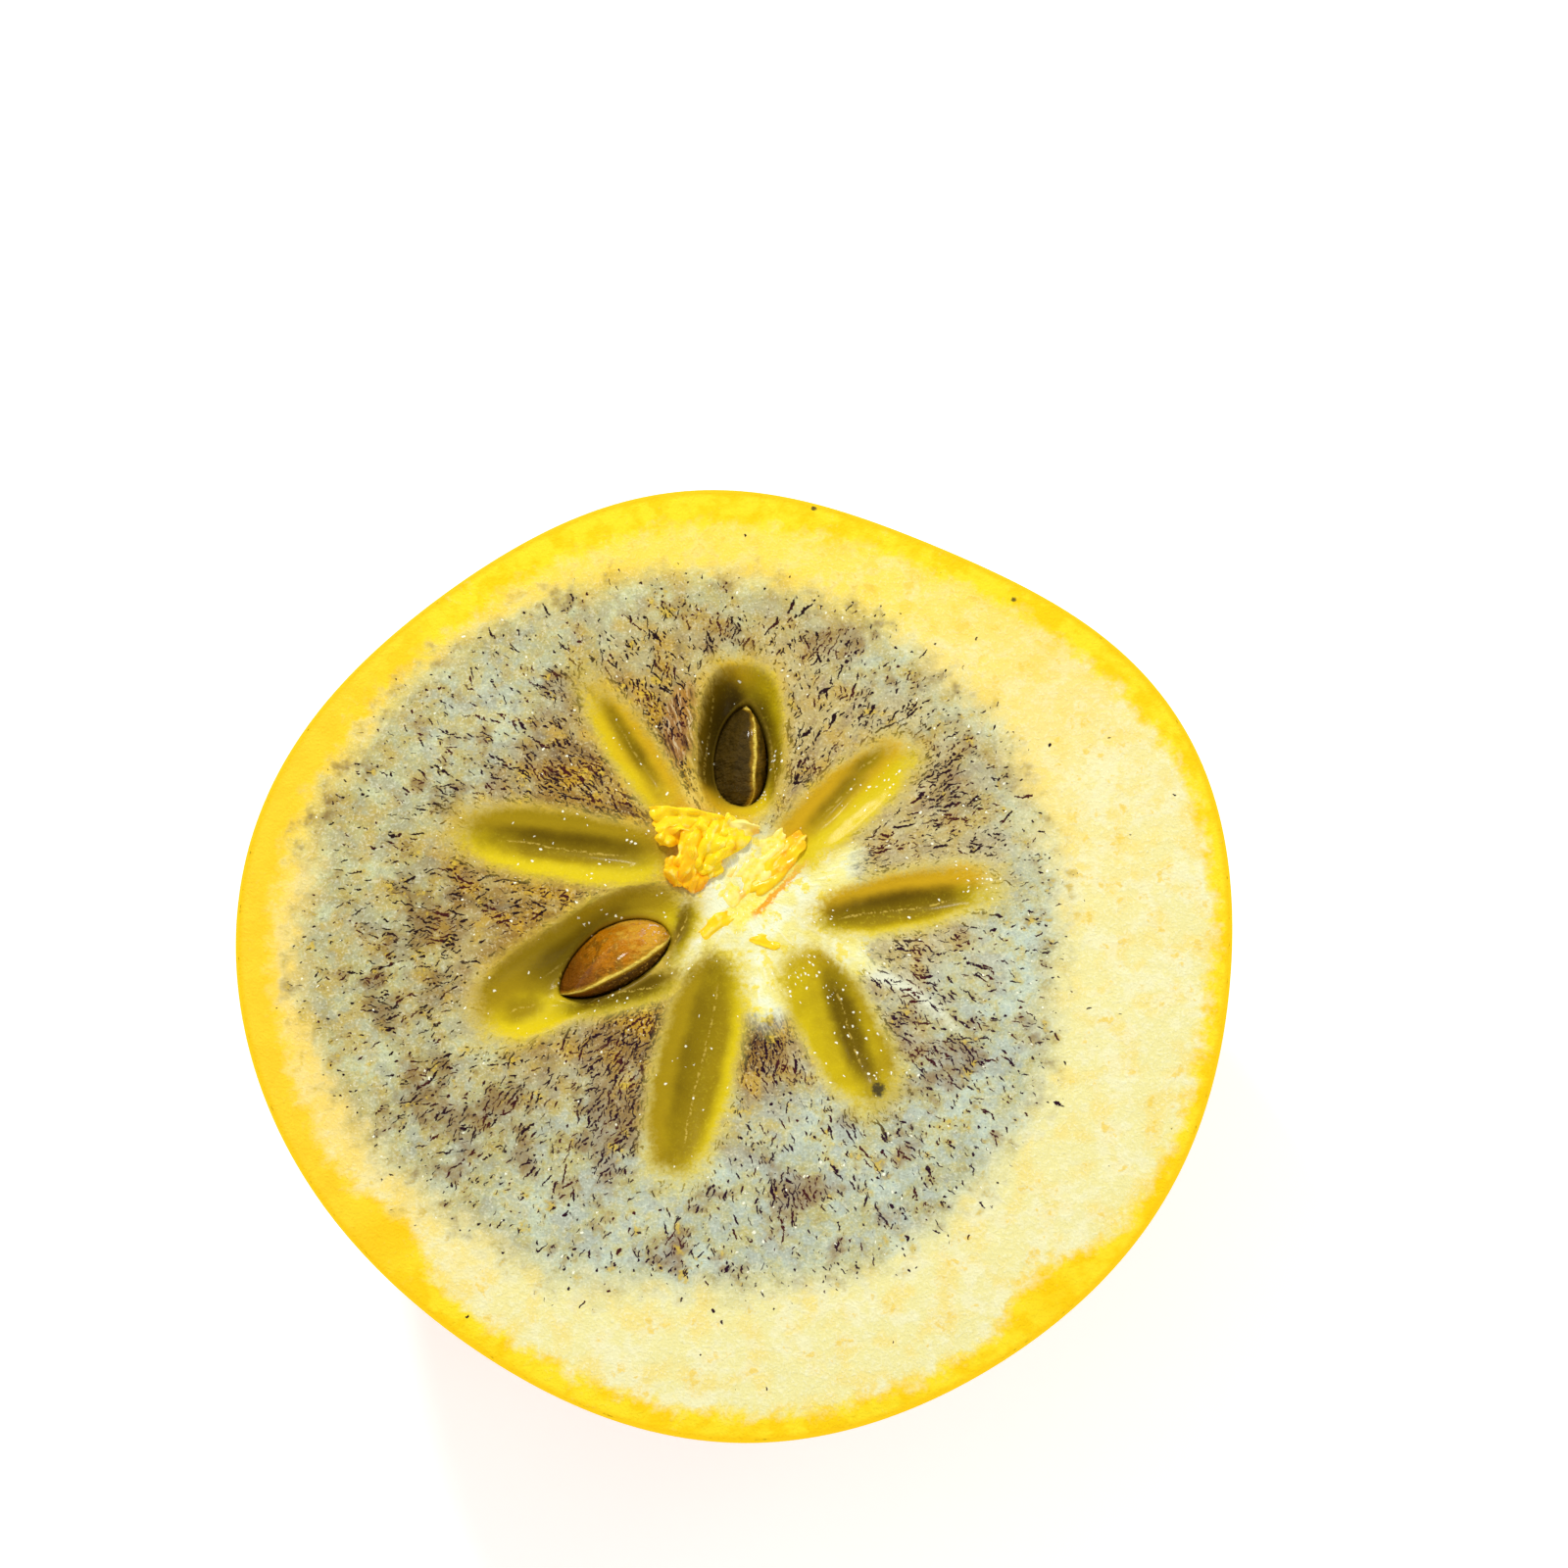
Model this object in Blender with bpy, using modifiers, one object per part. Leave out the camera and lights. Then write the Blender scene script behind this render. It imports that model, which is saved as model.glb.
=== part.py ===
"""Half of a nishimura persimmon, cut across its middle and standing on its calyx.

Metres, +Z up. The origin is on the surface that the fruit stands on, under the middle
of its outline. The cut face is level and looks up.
"""
import math

import bmesh
import bpy
from mathutils import Matrix, Vector, noise

MM = 0.001

# The outside. The outline at the cut is a circle with a few low lobes.
CUT_HEIGHT = 31.5 * MM
CUT_RADIUS = 36.9 * MM
WIDEST_HEIGHT = 36.0 * MM
BODY_DEPTH = 35.9 * MM
WALL_POWER = 2.8
# Each lobe: how many round the fruit, how high in mm, and the direction of one in degrees.
LOBES = ((2, 0.70, -7), (3, 0.40, 36), (4, 0.45, 10), (5, 0.35, 30), (6, 0.25, -27))
# The dimple that the calyx sits in.
DIMPLE_DEPTH = 6.5 * MM
DIMPLE_RADIUS = 8.5 * MM
FRUIT_SEGMENTS = 84
FRUIT_RINGS = 56

# The core, which the pockets stand round, off the middle of the cut face.
CORE = Vector((0.5 * MM, 4.2 * MM, CUT_HEIGHT))

# Each empty pocket: direction from the core in degrees, distance of its middle from the
# core, its own direction, length, width and depth, in mm. The ends are blunt.
POCKETS = {
    "pocket_upper_left": (127, 13.6, 124, 11.6, 3.1, 0.7),
    "pocket_upper_right": (42, 10.2, 42, 13.0, 4.5, 1.0),
    "pocket_right": (-3.5, 12.2, 12, 12.8, 4.2, 0.9),
    "pocket_lower_right": (-54.7, 12.7, -62, 12.6, 5.4, 1.0),
    "pocket_bottom": (-104, 13.6, -102, 16.4, 5.6, 1.0),
    "pocket_left": (165, 13.7, 170.5, 15.8, 5.1, 1.0),
}

# The hollow round each seed, stated as the pockets are.
SEED_HOLLOWS = {
    "hollow_left": (-156, 13.1, -147.5, 17.3, 6.9, 1.8),
    "hollow_top": (90.5, 12.0, 88, 12.2, 6.5, 3.8),
}

POCKET_BLUNTNESS = 2.7
POCKET_STEPS = (24, 10)

# Each seed: direction from the core, distance of its middle, its own direction, how far
# its top is above the cut face in mm, and how far it leans, in degrees.
SEEDS = {
    "seed_left": (-162, 11.0, -150, 1.8, -27),
    "seed_top": (100, 11.4, 89, -0.3, 24),
}
SEED_WIDTH = 10.8 * MM
SEED_THICKNESS = 5.7 * MM
SEED_TALL = 15.0 * MM
SEED_BLUNTNESS = 2.7
SEED_POINT = 0.4
SEED_STEPS = (24, 16)
SEED_CLEARANCE = 0.45 * MM

# Torn pulp on the core: place from the core in mm, its direction in degrees, length,
# width and height above the cut face in mm.
TORN_PULP = {
    "torn_flap": (-4.4, 5.4, -4, 5.2, 2.2, 1.5),
    "torn_slab": (-4.2, 2.7, 84, 4.4, 2.1, 2.2),
    "torn_foot": (-3.4, 0.9, 60, 1.9, 1.4, 0.9),
    "torn_lump": (-2.2, 3.4, 64, 4.3, 2.6, 1.8),
    "torn_wedge": (-0.9, 3.9, 35, 3.3, 1.6, 1.2),
    "torn_bridge": (-0.4, 5.1, -8, 3.4, 1.3, 0.9),
    "torn_strip": (2.3, 1.5, 46, 6.8, 2.2, 0.7),
    "torn_end": (-1.7, -2.7, 38, 2.8, 1.4, 0.6),
}

# The calyx: four sepals, one under each blunt corner of the fruit. Each has its
# direction in degrees, and its reach and the rise of its curled tip in mm.
SEPALS = ((11, 24.2, 3.0), (102, 22.8, 2.2), (192, 24.4, 3.3), (280, 23.2, 2.6))
NOTCH_REACH = 9.5 * MM
SEPAL_THICKNESS = 1.1 * MM
SEPAL_INNER = 3.5 * MM
SEPAL_ROUNDNESS = 3.0
CALYX_GAP = 0.6 * MM
FLAT_FROM = 12.0 * MM
FLAT_TO = 18.0 * MM
EDGE_WAVE = 0.9 * MM
CALYX_STEPS_ROUND = 72
CALYX_STEPS_OUT = 8
# The disc's turned profile, from its top down to its underside: radius and height in mm.
DISC_PROFILE = ((0.0, 5.6), (2.5, 5.2), (4.3, 4.1), (4.8, 3.4), (4.3, 3.0), (0.0, 2.9))
DISC_STEPS = 24

# The stem, clipped short under the disc.
STEM_RADIUS = 2.7 * MM
STEM_TOP = 2.6 * MM
STEM_BOTTOM = 0.7 * MM
STEM_SIDES = 20
STEM_RIBS = 5
STEM_RIB_HEIGHT = 0.18 * MM
STEM_BEVEL = 0.25 * MM

SMOOTH_ANGLE = math.radians(35)


def clear_scene():
    """Removes the objects that Blender starts with."""
    for found in list(bpy.data.objects):
        bpy.data.objects.remove(found, do_unlink=True)


def make_collection(name):
    """Makes a collection under the scene's own."""
    collection = bpy.data.collections.new(name)
    bpy.context.scene.collection.children.link(collection)
    return collection


def make_material(name, color, roughness):
    """Makes a plain Principled material."""
    material = bpy.data.materials.new(name)
    material.use_nodes = True
    shader = material.node_tree.nodes["Principled BSDF"]
    shader.inputs["Base Color"].default_value = (*color, 1.0)
    shader.inputs["Roughness"].default_value = roughness
    shader.inputs["Metallic"].default_value = 0.0
    material.diffuse_color = (*color, 1.0)
    return material


def make_object(name, mesh_builder, collection, material=None):
    """Turns a bmesh into a named, smooth-shaded object in a collection."""
    mesh = bpy.data.meshes.new(name)
    mesh_builder.to_mesh(mesh)
    mesh_builder.free()
    mesh.shade_smooth()
    mesh.set_sharp_from_angle(angle=SMOOTH_ANGLE)
    made = bpy.data.objects.new(name, mesh)
    collection.objects.link(made)
    if material:
        mesh.materials.append(material)
    return made


def make_cutter(name, mesh_builder, collection):
    """Makes a guide object that only shapes another one."""
    cutter = make_object(name, mesh_builder, collection)
    cutter.hide_render = True
    cutter.display_type = "WIRE"
    return cutter


def add_boolean(target, operation, collection):
    """Cuts or joins everything in a collection on the target."""
    step = target.modifiers.new(operation.lower(), "BOOLEAN")
    step.operation = operation
    step.operand_type = "COLLECTION"
    step.collection = collection
    step.solver = "EXACT"


def lobed(around):
    """The outline's radius at the cut, before it is centred, in a direction."""
    swell = sum(height * MM * math.cos(count * (around - math.radians(direction)))
                for count, height, direction in LOBES)
    return CUT_RADIUS + swell


def outline_middle():
    """The middle of the box round the outline at the cut."""
    turns = [math.tau * step / 720 for step in range(720)]
    across = [lobed(turn) * math.cos(turn) for turn in turns]
    along = [lobed(turn) * math.sin(turn) for turn in turns]
    return Vector(((min(across) + max(across)) / 2, (min(along) + max(along)) / 2, 0.0))


def cut_share():
    """The outline at the cut as a share of the widest one."""
    rise = (WIDEST_HEIGHT - CUT_HEIGHT) / BODY_DEPTH
    return (1 - rise ** 2) ** (1 / WALL_POWER)


def dimple(reach):
    """How far the calyx dimple lifts the underside at a distance from the axis."""
    return DIMPLE_DEPTH * math.exp(-(reach / DIMPLE_RADIUS) ** 2)


def underside(reach):
    """The height of a round fruit's underside at a distance from the axis."""
    share = (reach / (CUT_RADIUS / cut_share())) ** WALL_POWER
    return WIDEST_HEIGHT - BODY_DEPTH * math.sqrt(1 - share) + dimple(reach)


def outside_point(direction):
    """Moves a point of the unit sphere to the fruit's outside."""
    around = math.atan2(direction.y, direction.x)
    across = math.hypot(direction.x, direction.y)
    reach = lobed(around) / cut_share() * across ** (2 / WALL_POWER)
    height = WIDEST_HEIGHT + BODY_DEPTH * direction.z
    if direction.z < 0:
        height += dimple(reach)
    return Vector((reach * math.cos(around), reach * math.sin(around), height))


def build_outside():
    """A sphere shaped to the fruit, cut level and closed with a flat face."""
    fruit = bmesh.new()
    bmesh.ops.create_uvsphere(fruit, u_segments=FRUIT_SEGMENTS, v_segments=FRUIT_RINGS, radius=1)
    middle = outline_middle()
    for vertex in fruit.verts:
        vertex.co = outside_point(vertex.co) - middle
    geometry = fruit.verts[:] + fruit.edges[:] + fruit.faces[:]
    bmesh.ops.bisect_plane(fruit, geom=geometry, dist=1e-7, plane_co=(0, 0, CUT_HEIGHT),
                           plane_no=(0, 0, 1), clear_outer=True)
    rim = [edge for edge in fruit.edges if edge.is_boundary]
    bmesh.ops.contextual_create(fruit, geom=rim)
    bmesh.ops.recalc_face_normals(fruit, faces=fruit.faces)
    return fruit


def on_core(direction, distance):
    """A point on the cut face, at a direction and a distance from the core."""
    turn = math.radians(direction)
    return CORE + Vector((math.cos(turn), math.sin(turn), 0)) * distance * MM


def blunt_share(across, along, power):
    """How much further a circle reaches in a direction once its shape is made blunt."""
    radius = math.hypot(across, along)
    if radius == 0:
        return 1.0
    corner = abs(across / radius) ** power + abs(along / radius) ** power
    return corner ** (-1 / power)


def build_hollow(direction, distance, own_direction, length, width, depth):
    """A blunt ellipsoid that sinks a long shallow hollow into the cut face."""
    hollow = bmesh.new()
    around, down = POCKET_STEPS
    bmesh.ops.create_uvsphere(hollow, u_segments=around, v_segments=down, radius=0.5)
    for vertex in hollow.verts:
        vertex.co.xy *= blunt_share(vertex.co.x, vertex.co.y, POCKET_BLUNTNESS)
    size = Matrix.Diagonal((length * MM, width * MM, 2 * depth * MM, 1))
    turn = Matrix.Rotation(math.radians(own_direction), 4, "Z")
    place = Matrix.Translation(on_core(direction, distance))
    bmesh.ops.transform(hollow, matrix=place @ turn @ size, verts=hollow.verts)
    return hollow


def build_seed(direction, distance, own_direction, top, lean, clearance):
    """A flat almond standing on its end, thin at its rim and pointed outwards."""
    seed = bmesh.new()
    around, down = SEED_STEPS
    bmesh.ops.create_uvsphere(seed, u_segments=around, v_segments=down, radius=1)
    half_width = SEED_WIDTH / 2 + clearance
    half_thickness = SEED_THICKNESS / 2 + clearance
    half_tall = SEED_TALL / 2 + clearance
    for vertex in seed.verts:
        out, side, up = vertex.co
        blunt = blunt_share(out, up, SEED_BLUNTNESS)
        thin = max(0.0, 1 - max(out, 0)) ** SEED_POINT
        vertex.co = (half_width * out * blunt, half_thickness * side * thin, half_tall * up * blunt)
    tilt = Matrix.Rotation(math.radians(lean), 4, "X")
    turn = Matrix.Rotation(math.radians(own_direction), 4, "Z")
    sunk = Vector((0, 0, top * MM - SEED_TALL / 2))
    place = Matrix.Translation(on_core(direction, distance) + sunk)
    bmesh.ops.transform(seed, matrix=place @ turn @ tilt, verts=seed.verts)
    return seed


def build_torn_piece(x, y, direction, length, width, height):
    """A ragged scrap of pulp that stands out of the cut face."""
    scrap = bmesh.new()
    bmesh.ops.create_icosphere(scrap, subdivisions=2, radius=1)
    for vertex in scrap.verts:
        ragged = noise.noise(vertex.co * 1.7 + Vector((x, y, height)))
        vertex.co *= 1 + 0.3 * ragged
    size = Matrix.Diagonal((length / 2 * MM, width / 2 * MM, height * MM, 1))
    turn = Matrix.Rotation(math.radians(direction), 4, "Z")
    place = Matrix.Translation(CORE + Vector((x, y, -0.12 * height)) * MM)
    bmesh.ops.transform(scrap, matrix=place @ turn @ size, verts=scrap.verts)
    return scrap


def make_fruit(parts):
    """Skin and flesh: the outside, less the hollows, with the torn pulp joined on."""
    material = make_material("fruit", (0.95, 0.50, 0.03), 0.35)
    fruit = make_object("fruit_half", build_outside(), parts, material)
    hollows = make_collection("hollows")
    for name, place in {**POCKETS, **SEED_HOLLOWS}.items():
        make_cutter(name, build_hollow(*place), hollows)
    seed_rooms = make_collection("seed_rooms")
    for name, place in SEEDS.items():
        make_cutter(name + "_room", build_seed(*place, SEED_CLEARANCE), seed_rooms)
    pulp = make_collection("torn_pulp")
    for name, place in TORN_PULP.items():
        make_cutter(name, build_torn_piece(*place), pulp)
    add_boolean(fruit, "DIFFERENCE", hollows)
    add_boolean(fruit, "DIFFERENCE", seed_rooms)
    add_boolean(fruit, "UNION", pulp)


def make_seeds(parts):
    """The two seeds, each in its own hollow."""
    material = make_material("seed", (0.33, 0.15, 0.03), 0.3)
    for name, place in SEEDS.items():
        make_object(name, build_seed(*place, 0.0), parts, material)


def nearest_sepal(around):
    """The sepal in a direction, and how far to its side: 0 on its middle, 1 in a notch."""
    turn = math.degrees(around)
    best = None
    for index, (direction, reach, curl) in enumerate(SEPALS):
        off = (turn - direction + 180) % 360 - 180
        side = 1 if off > 0 else -1
        neighbour = SEPALS[(index + side) % len(SEPALS)][0]
        half_gap = ((neighbour - direction) * side % 360) / 2
        share = abs(off) / half_gap
        if best is None or share < best[0]:
            best = (share, reach * MM, curl * MM)
    return best


def sepal_edge(share, longest):
    """How far the calyx reaches: long on a sepal's middle, short in a notch."""
    rounded = max(0.0, 1 - share ** SEPAL_ROUNDNESS) ** 0.5
    return NOTCH_REACH + (longest - NOTCH_REACH) * rounded


def sepal_height(reach, share, longest, curl):
    """The underside of the calyx: close under the fruit, flat, then curled at the tip."""
    if reach < FLAT_FROM:
        return max(0.0, underside(reach) - SEPAL_THICKNESS - CALYX_GAP)
    beyond = max(0.0, (reach - FLAT_TO) / (longest - FLAT_TO))
    return curl * beyond ** 2 + EDGE_WAVE * beyond * share ** 2


def build_sepals():
    """A flat grid bent into a ring whose outer edge follows the four sepals."""
    ring = bmesh.new()
    bmesh.ops.create_grid(ring, x_segments=CALYX_STEPS_ROUND, y_segments=CALYX_STEPS_OUT, size=1)
    for vertex in ring.verts:
        around = math.pi * (vertex.co.x + 1)
        outward = (vertex.co.y + 1) / 2
        share, longest, curl = nearest_sepal(around)
        reach = SEPAL_INNER + (sepal_edge(share, longest) - SEPAL_INNER) * outward
        height = sepal_height(reach, share, longest, curl)
        vertex.co = (reach * math.cos(around), reach * math.sin(around), height)
    bmesh.ops.remove_doubles(ring, verts=ring.verts, dist=1e-6)
    bmesh.ops.reverse_faces(ring, faces=ring.faces)
    return ring


def build_disc():
    """The disc in the middle of the calyx, turned from its profile."""
    disc = bmesh.new()
    points = [disc.verts.new((radius * MM, 0, height * MM)) for radius, height in DISC_PROFILE]
    edges = [disc.edges.new(pair) for pair in zip(points, points[1:])]
    bmesh.ops.spin(disc, geom=points + edges, axis=(0, 0, 1), cent=(0, 0, 0),
                   angle=math.tau, steps=DISC_STEPS, use_duplicate=False)
    bmesh.ops.remove_doubles(disc, verts=disc.verts, dist=1e-6)
    bmesh.ops.recalc_face_normals(disc, faces=disc.faces)
    return disc


def make_calyx(parts):
    """The four sepals with the disc that they grow from."""
    material = make_material("calyx", (0.32, 0.27, 0.11), 0.75)
    calyx = make_object("calyx", build_sepals(), parts, material)
    wall = calyx.modifiers.new("thickness", "SOLIDIFY")
    wall.thickness = SEPAL_THICKNESS
    wall.offset = 1.0
    wall.use_even_offset = False
    disc = make_collection("calyx_disc")
    make_cutter("disc", build_disc(), disc)
    add_boolean(calyx, "UNION", disc)


def make_stem(parts):
    """The clipped stem: a short ribbed stub with worn edges."""
    material = make_material("stem", (0.20, 0.14, 0.08), 0.85)
    stub = bmesh.new()
    bmesh.ops.create_cone(stub, segments=STEM_SIDES, radius1=STEM_RADIUS * 0.92, radius2=STEM_RADIUS,
                          depth=STEM_TOP - STEM_BOTTOM, cap_ends=True)
    for vertex in stub.verts:
        around = math.atan2(vertex.co.y, vertex.co.x)
        swell = 1 + STEM_RIB_HEIGHT / STEM_RADIUS * math.cos(STEM_RIBS * around)
        vertex.co = (vertex.co.x * swell, vertex.co.y * swell, vertex.co.z)
    middle = Matrix.Translation((0, 0, (STEM_TOP + STEM_BOTTOM) / 2))
    bmesh.ops.transform(stub, matrix=middle, verts=stub.verts)
    stem = make_object("stem_stub", stub, parts, material)
    edge = stem.modifiers.new("worn_edge", "BEVEL")
    edge.width = STEM_BEVEL
    edge.segments = 2
    edge.limit_method = "ANGLE"


def main():
    clear_scene()
    parts = make_collection("persimmon_half")
    make_fruit(parts)
    make_seeds(parts)
    make_calyx(parts)
    make_stem(parts)


main()
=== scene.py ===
# %% [markdown]
# # Half of a nishimura persimmon
# A ripe nishimura persimmon is cut across its middle and stands on its calyx, with the cut
# face up. The imported solids give the size and place of everything. This file gives the
# surfaces: wet speckled flesh, olive seed pockets, torn pulp at the core, two brown seeds,
# a silky orange skin and a dry calyx. Each step says what the thing is on the real fruit,
# how it could be made, and why it is made this way.

# %% [markdown]
# ## Load the frame
# The imported solids come in as fixed objects. The solids stay selected after they load, so
# everything is deselected before the first new piece is made.

# %% Load the frame
import math
from contextlib import contextmanager
from functools import reduce

import bpy
import numpy as np
from mathutils import Matrix, Vector, noise


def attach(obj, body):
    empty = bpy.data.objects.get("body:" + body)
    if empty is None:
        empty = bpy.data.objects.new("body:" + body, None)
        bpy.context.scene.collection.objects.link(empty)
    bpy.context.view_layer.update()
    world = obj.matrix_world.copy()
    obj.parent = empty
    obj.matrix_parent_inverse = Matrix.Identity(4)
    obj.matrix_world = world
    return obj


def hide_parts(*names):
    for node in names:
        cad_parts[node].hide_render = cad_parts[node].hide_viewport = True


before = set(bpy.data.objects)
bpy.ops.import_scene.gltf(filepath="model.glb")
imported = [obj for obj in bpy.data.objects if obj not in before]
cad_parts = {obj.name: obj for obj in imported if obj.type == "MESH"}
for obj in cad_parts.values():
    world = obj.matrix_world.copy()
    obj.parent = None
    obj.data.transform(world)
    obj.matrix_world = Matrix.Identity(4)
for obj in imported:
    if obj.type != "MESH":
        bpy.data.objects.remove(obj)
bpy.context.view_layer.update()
MM = 0.001
bpy.ops.object.select_all(action="DESELECT")


def added(name):
    """The object that an operator has just added, with its name."""
    bpy.context.object.name = name
    return bpy.context.object


# %% [markdown]
# ## The fruit's driving sizes
# The outside is a turned wall, blunt like a tumbler, whose outline has a few low lobes. The
# same numbers drive the solids, so every piece here keeps their form. The cut is a level
# plane, and the core that the pockets stand round is a little off its middle. Sizes are in
# millimetres and directions in degrees, unless a note says otherwise.

# %% The fruit's driving sizes
CUT_HEIGHT = 31.5
CUT_RADIUS = 36.9
WIDEST_HEIGHT = 36.0
BODY_DEPTH = 35.9
WALL_POWER = 2.8
# Number of lobes round the fruit, their height and their direction.
LOBES = ((2, 0.70, -7), (3, 0.40, 36), (4, 0.45, 10), (5, 0.35, 30), (6, 0.25, -27))
DIMPLE_DEPTH = 6.5
DIMPLE_RADIUS = 8.5
CORE = np.array((0.5, 4.2, CUT_HEIGHT))
SKIN_THICKNESS = 0.25


def lobed(around):
    """The outline's radius at the cut, before it is centred."""
    swell = sum(height * np.cos(count * (around - math.radians(direction)))
                for count, height, direction in LOBES)
    return CUT_RADIUS + swell


def outline_middle():
    """The middle of the box round the outline at the cut."""
    turn = np.arange(720) * math.tau / 720
    across = lobed(turn) * np.cos(turn)
    along = lobed(turn) * np.sin(turn)
    return np.array(((across.min() + across.max()) / 2, (along.min() + along.max()) / 2))


def wall_share(height):
    """The wall's radius at a height, as a share of the widest one."""
    return (1 - ((WIDEST_HEIGHT - height) / BODY_DEPTH) ** 2) ** (1 / WALL_POWER)


CUT_SHARE = wall_share(CUT_HEIGHT)
MIDDLE = outline_middle()
print("the outline's middle is moved by", MIDDLE.round(2), "mm")

# %% [markdown]
# ## The camera
# The photographer stood close and looked down on the cut, a little from the front. The
# camera stands as far off as makes the cut as wide in the frame as it is in the photo, and
# aims at a point right of and behind the middle, so the half sits low and left in the frame.

# %% The camera
CAMERA_ELEVATION = math.radians(74)
CAMERA_DISTANCE = 234 * MM
CAMERA_LENS = 70
AIM = Vector((3.75 * MM, 12.7 * MM, CUT_HEIGHT * MM))
back = Vector((0, -math.cos(CAMERA_ELEVATION), math.sin(CAMERA_ELEVATION)))
bpy.ops.object.camera_add(location=AIM + back * CAMERA_DISTANCE,
                          rotation=(math.pi / 2 - CAMERA_ELEVATION, 0, 0))
camera = added("camera")
camera.data.lens = CAMERA_LENS
camera.data.clip_start = 10 * MM
bpy.context.scene.camera = camera
print("the camera stands at", [round(v / MM) for v in camera.location], "mm")

# %% [markdown]
# ## Light, floor and backdrop
# The photo has a bright sky of white light, one harder light from behind on the left, and
# next to no shadow on a white floor. A white world and a lamp behind on the left do most of
# it, and the lamp gives the pockets their shade and the wet flesh its glints. Two weak lamps
# lift the other sides. The floor and a low round wall far off are white and glow a little,
# so low views end in white as well.

# %% Light, floor and backdrop
WORLD_STRENGTH = 0.5
# Place, width and watts.
LAMPS = {
    "key": ((-150, 330, 380), 80, 1.6),
    "fill": ((260, -180, 300), 220, 0.2),
    "rim": ((330, 220, 160), 120, 0.15),
}
# The stage is far larger than the fruit, so it is in metres.
FLOOR_SIZE = 6.0
BACKDROP_RADIUS = 2.9
BACKDROP_HEIGHT = 0.8
FLOOR_GLOW = 0.42
BACKDROP_GLOW = 0.7

for lamp_name, (place, width, watts) in LAMPS.items():
    bpy.ops.object.light_add(type="AREA", location=Vector(place) * MM)
    lamp = added(lamp_name)
    lamp.data.shape = "DISK"
    lamp.data.size = width * MM
    lamp.data.energy = watts
    to_core = Vector(CORE * MM) - lamp.location
    lamp.rotation_euler = to_core.to_track_quat("-Z", "Y").to_euler()

world = bpy.data.worlds.new("studio")
bpy.context.scene.world = world
world.use_nodes = True
sky = world.node_tree.nodes["Background"].inputs
sky["Color"].default_value = (1, 1, 1, 1)
sky["Strength"].default_value = WORLD_STRENGTH
bpy.context.scene.view_settings.view_transform = "Standard"
bpy.ops.mesh.primitive_plane_add(size=FLOOR_SIZE, location=(0, 0, 0))
floor = added("floor")
bpy.ops.mesh.primitive_cylinder_add(vertices=96, radius=BACKDROP_RADIUS, depth=BACKDROP_HEIGHT,
                                    end_fill_type="NOTHING", location=(0, 0, BACKDROP_HEIGHT / 2))
backdrop = added("backdrop")
print("lamps", list(LAMPS), "world", WORLD_STRENGTH)

# %% [markdown]
# ## Helpers for meshes
# Operators act on whatever is selected, so each piece is selected alone before it is
# worked on. Shapes that follow a formula are moved all at once: the vertices' places are
# read into an array in millimetres, changed, and written back.

# %% Helpers for meshes


def only(piece):
    """Selects one piece alone and makes it active."""
    bpy.ops.object.select_all(action="DESELECT")
    piece.select_set(True)
    bpy.context.view_layer.objects.active = piece


@contextmanager
def edit_mode(piece, selection="SELECT"):
    """Edits a piece with all of it selected, or none, and goes back to object mode."""
    only(piece)
    bpy.ops.object.mode_set(mode="EDIT")
    bpy.ops.mesh.select_all(action=selection)
    yield
    bpy.ops.object.mode_set(mode="OBJECT")


def smooth(piece, crease=None):
    """Shades a piece smooth, but for edges sharper than the crease."""
    only(piece)
    if crease is None:
        bpy.ops.object.shade_smooth()
    else:
        bpy.ops.object.shade_smooth_by_angle(angle=math.radians(crease))


def places(piece):
    """The vertices' places in millimetres."""
    flat = np.empty(len(piece.data.vertices) * 3, np.float32)
    piece.data.vertices.foreach_get("co", flat)
    return flat.reshape(-1, 3).astype(float) / MM


def put(piece, spots):
    """Writes the vertices' places, given in millimetres."""
    piece.data.vertices.foreach_set("co", (spots * MM).astype(np.float32).ravel())
    piece.data.update()


def columns(*parts):
    """Rows with one number from each part, which may also be the same number for all."""
    return np.stack(np.broadcast_arrays(*parts), axis=1)


def lumps(spots, size, seed):
    """Smooth noise between about -1 and 1 at each place, with lumps of a size in mm."""
    shift = Vector((seed * 1.31, seed * 0.77, seed * 1.93))
    return np.array([noise.noise(Vector(spot) / size + shift) for spot in spots])


def swells(spots, rows):
    """A sum of lumps, each with its height, size and seed."""
    return sum(height * lumps(spots, size, seed) for height, size, seed in rows)


def soft_step(value, low, high):
    """Rises smoothly from 0 at low to 1 at high, which may also be the smaller one."""
    share = np.clip((value - low) / (high - low), 0, 1)
    return share * share * (3 - 2 * share)


def keep_note(piece, name, *parts):
    """Stores three numbers for each vertex that the materials can read."""
    note = piece.data.attributes.new(name, "FLOAT_VECTOR", "POINT")
    note.data.foreach_set("vector", columns(*parts).astype(np.float32).ravel())


def use_modifier(piece, kind, **settings):
    """Adds a modifier, sets it and applies it."""
    only(piece)
    step = piece.modifiers.new(kind.lower(), kind)
    for setting, value in settings.items():
        setattr(step, setting, value)
    bpy.ops.object.modifier_apply(modifier=step.name)


def finish_piece(piece, slot, material, *nodes):
    """Gives a piece its material, hangs it under the root and hides the solids that it stands for."""
    piece.data.materials.clear()
    piece.data.materials.append(material)
    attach(piece, "root")
    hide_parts(*nodes)
    piece.data.calc_loop_triangles()
    print(piece.name, len(piece.data.loop_triangles), "triangles")


# %% [markdown]
# ## Shader maths as Python
# A pattern is easier to read as a sum than as a chain of nodes. A Value wraps a socket and
# turns each operator into a Math node, also when the number comes first. A finish is built
# up like paint: a first colour, and then one colour after the other, each with the share
# that it covers. Colours are written as they look on a screen, from 0 to 255.

# %% Shader maths as Python


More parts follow.
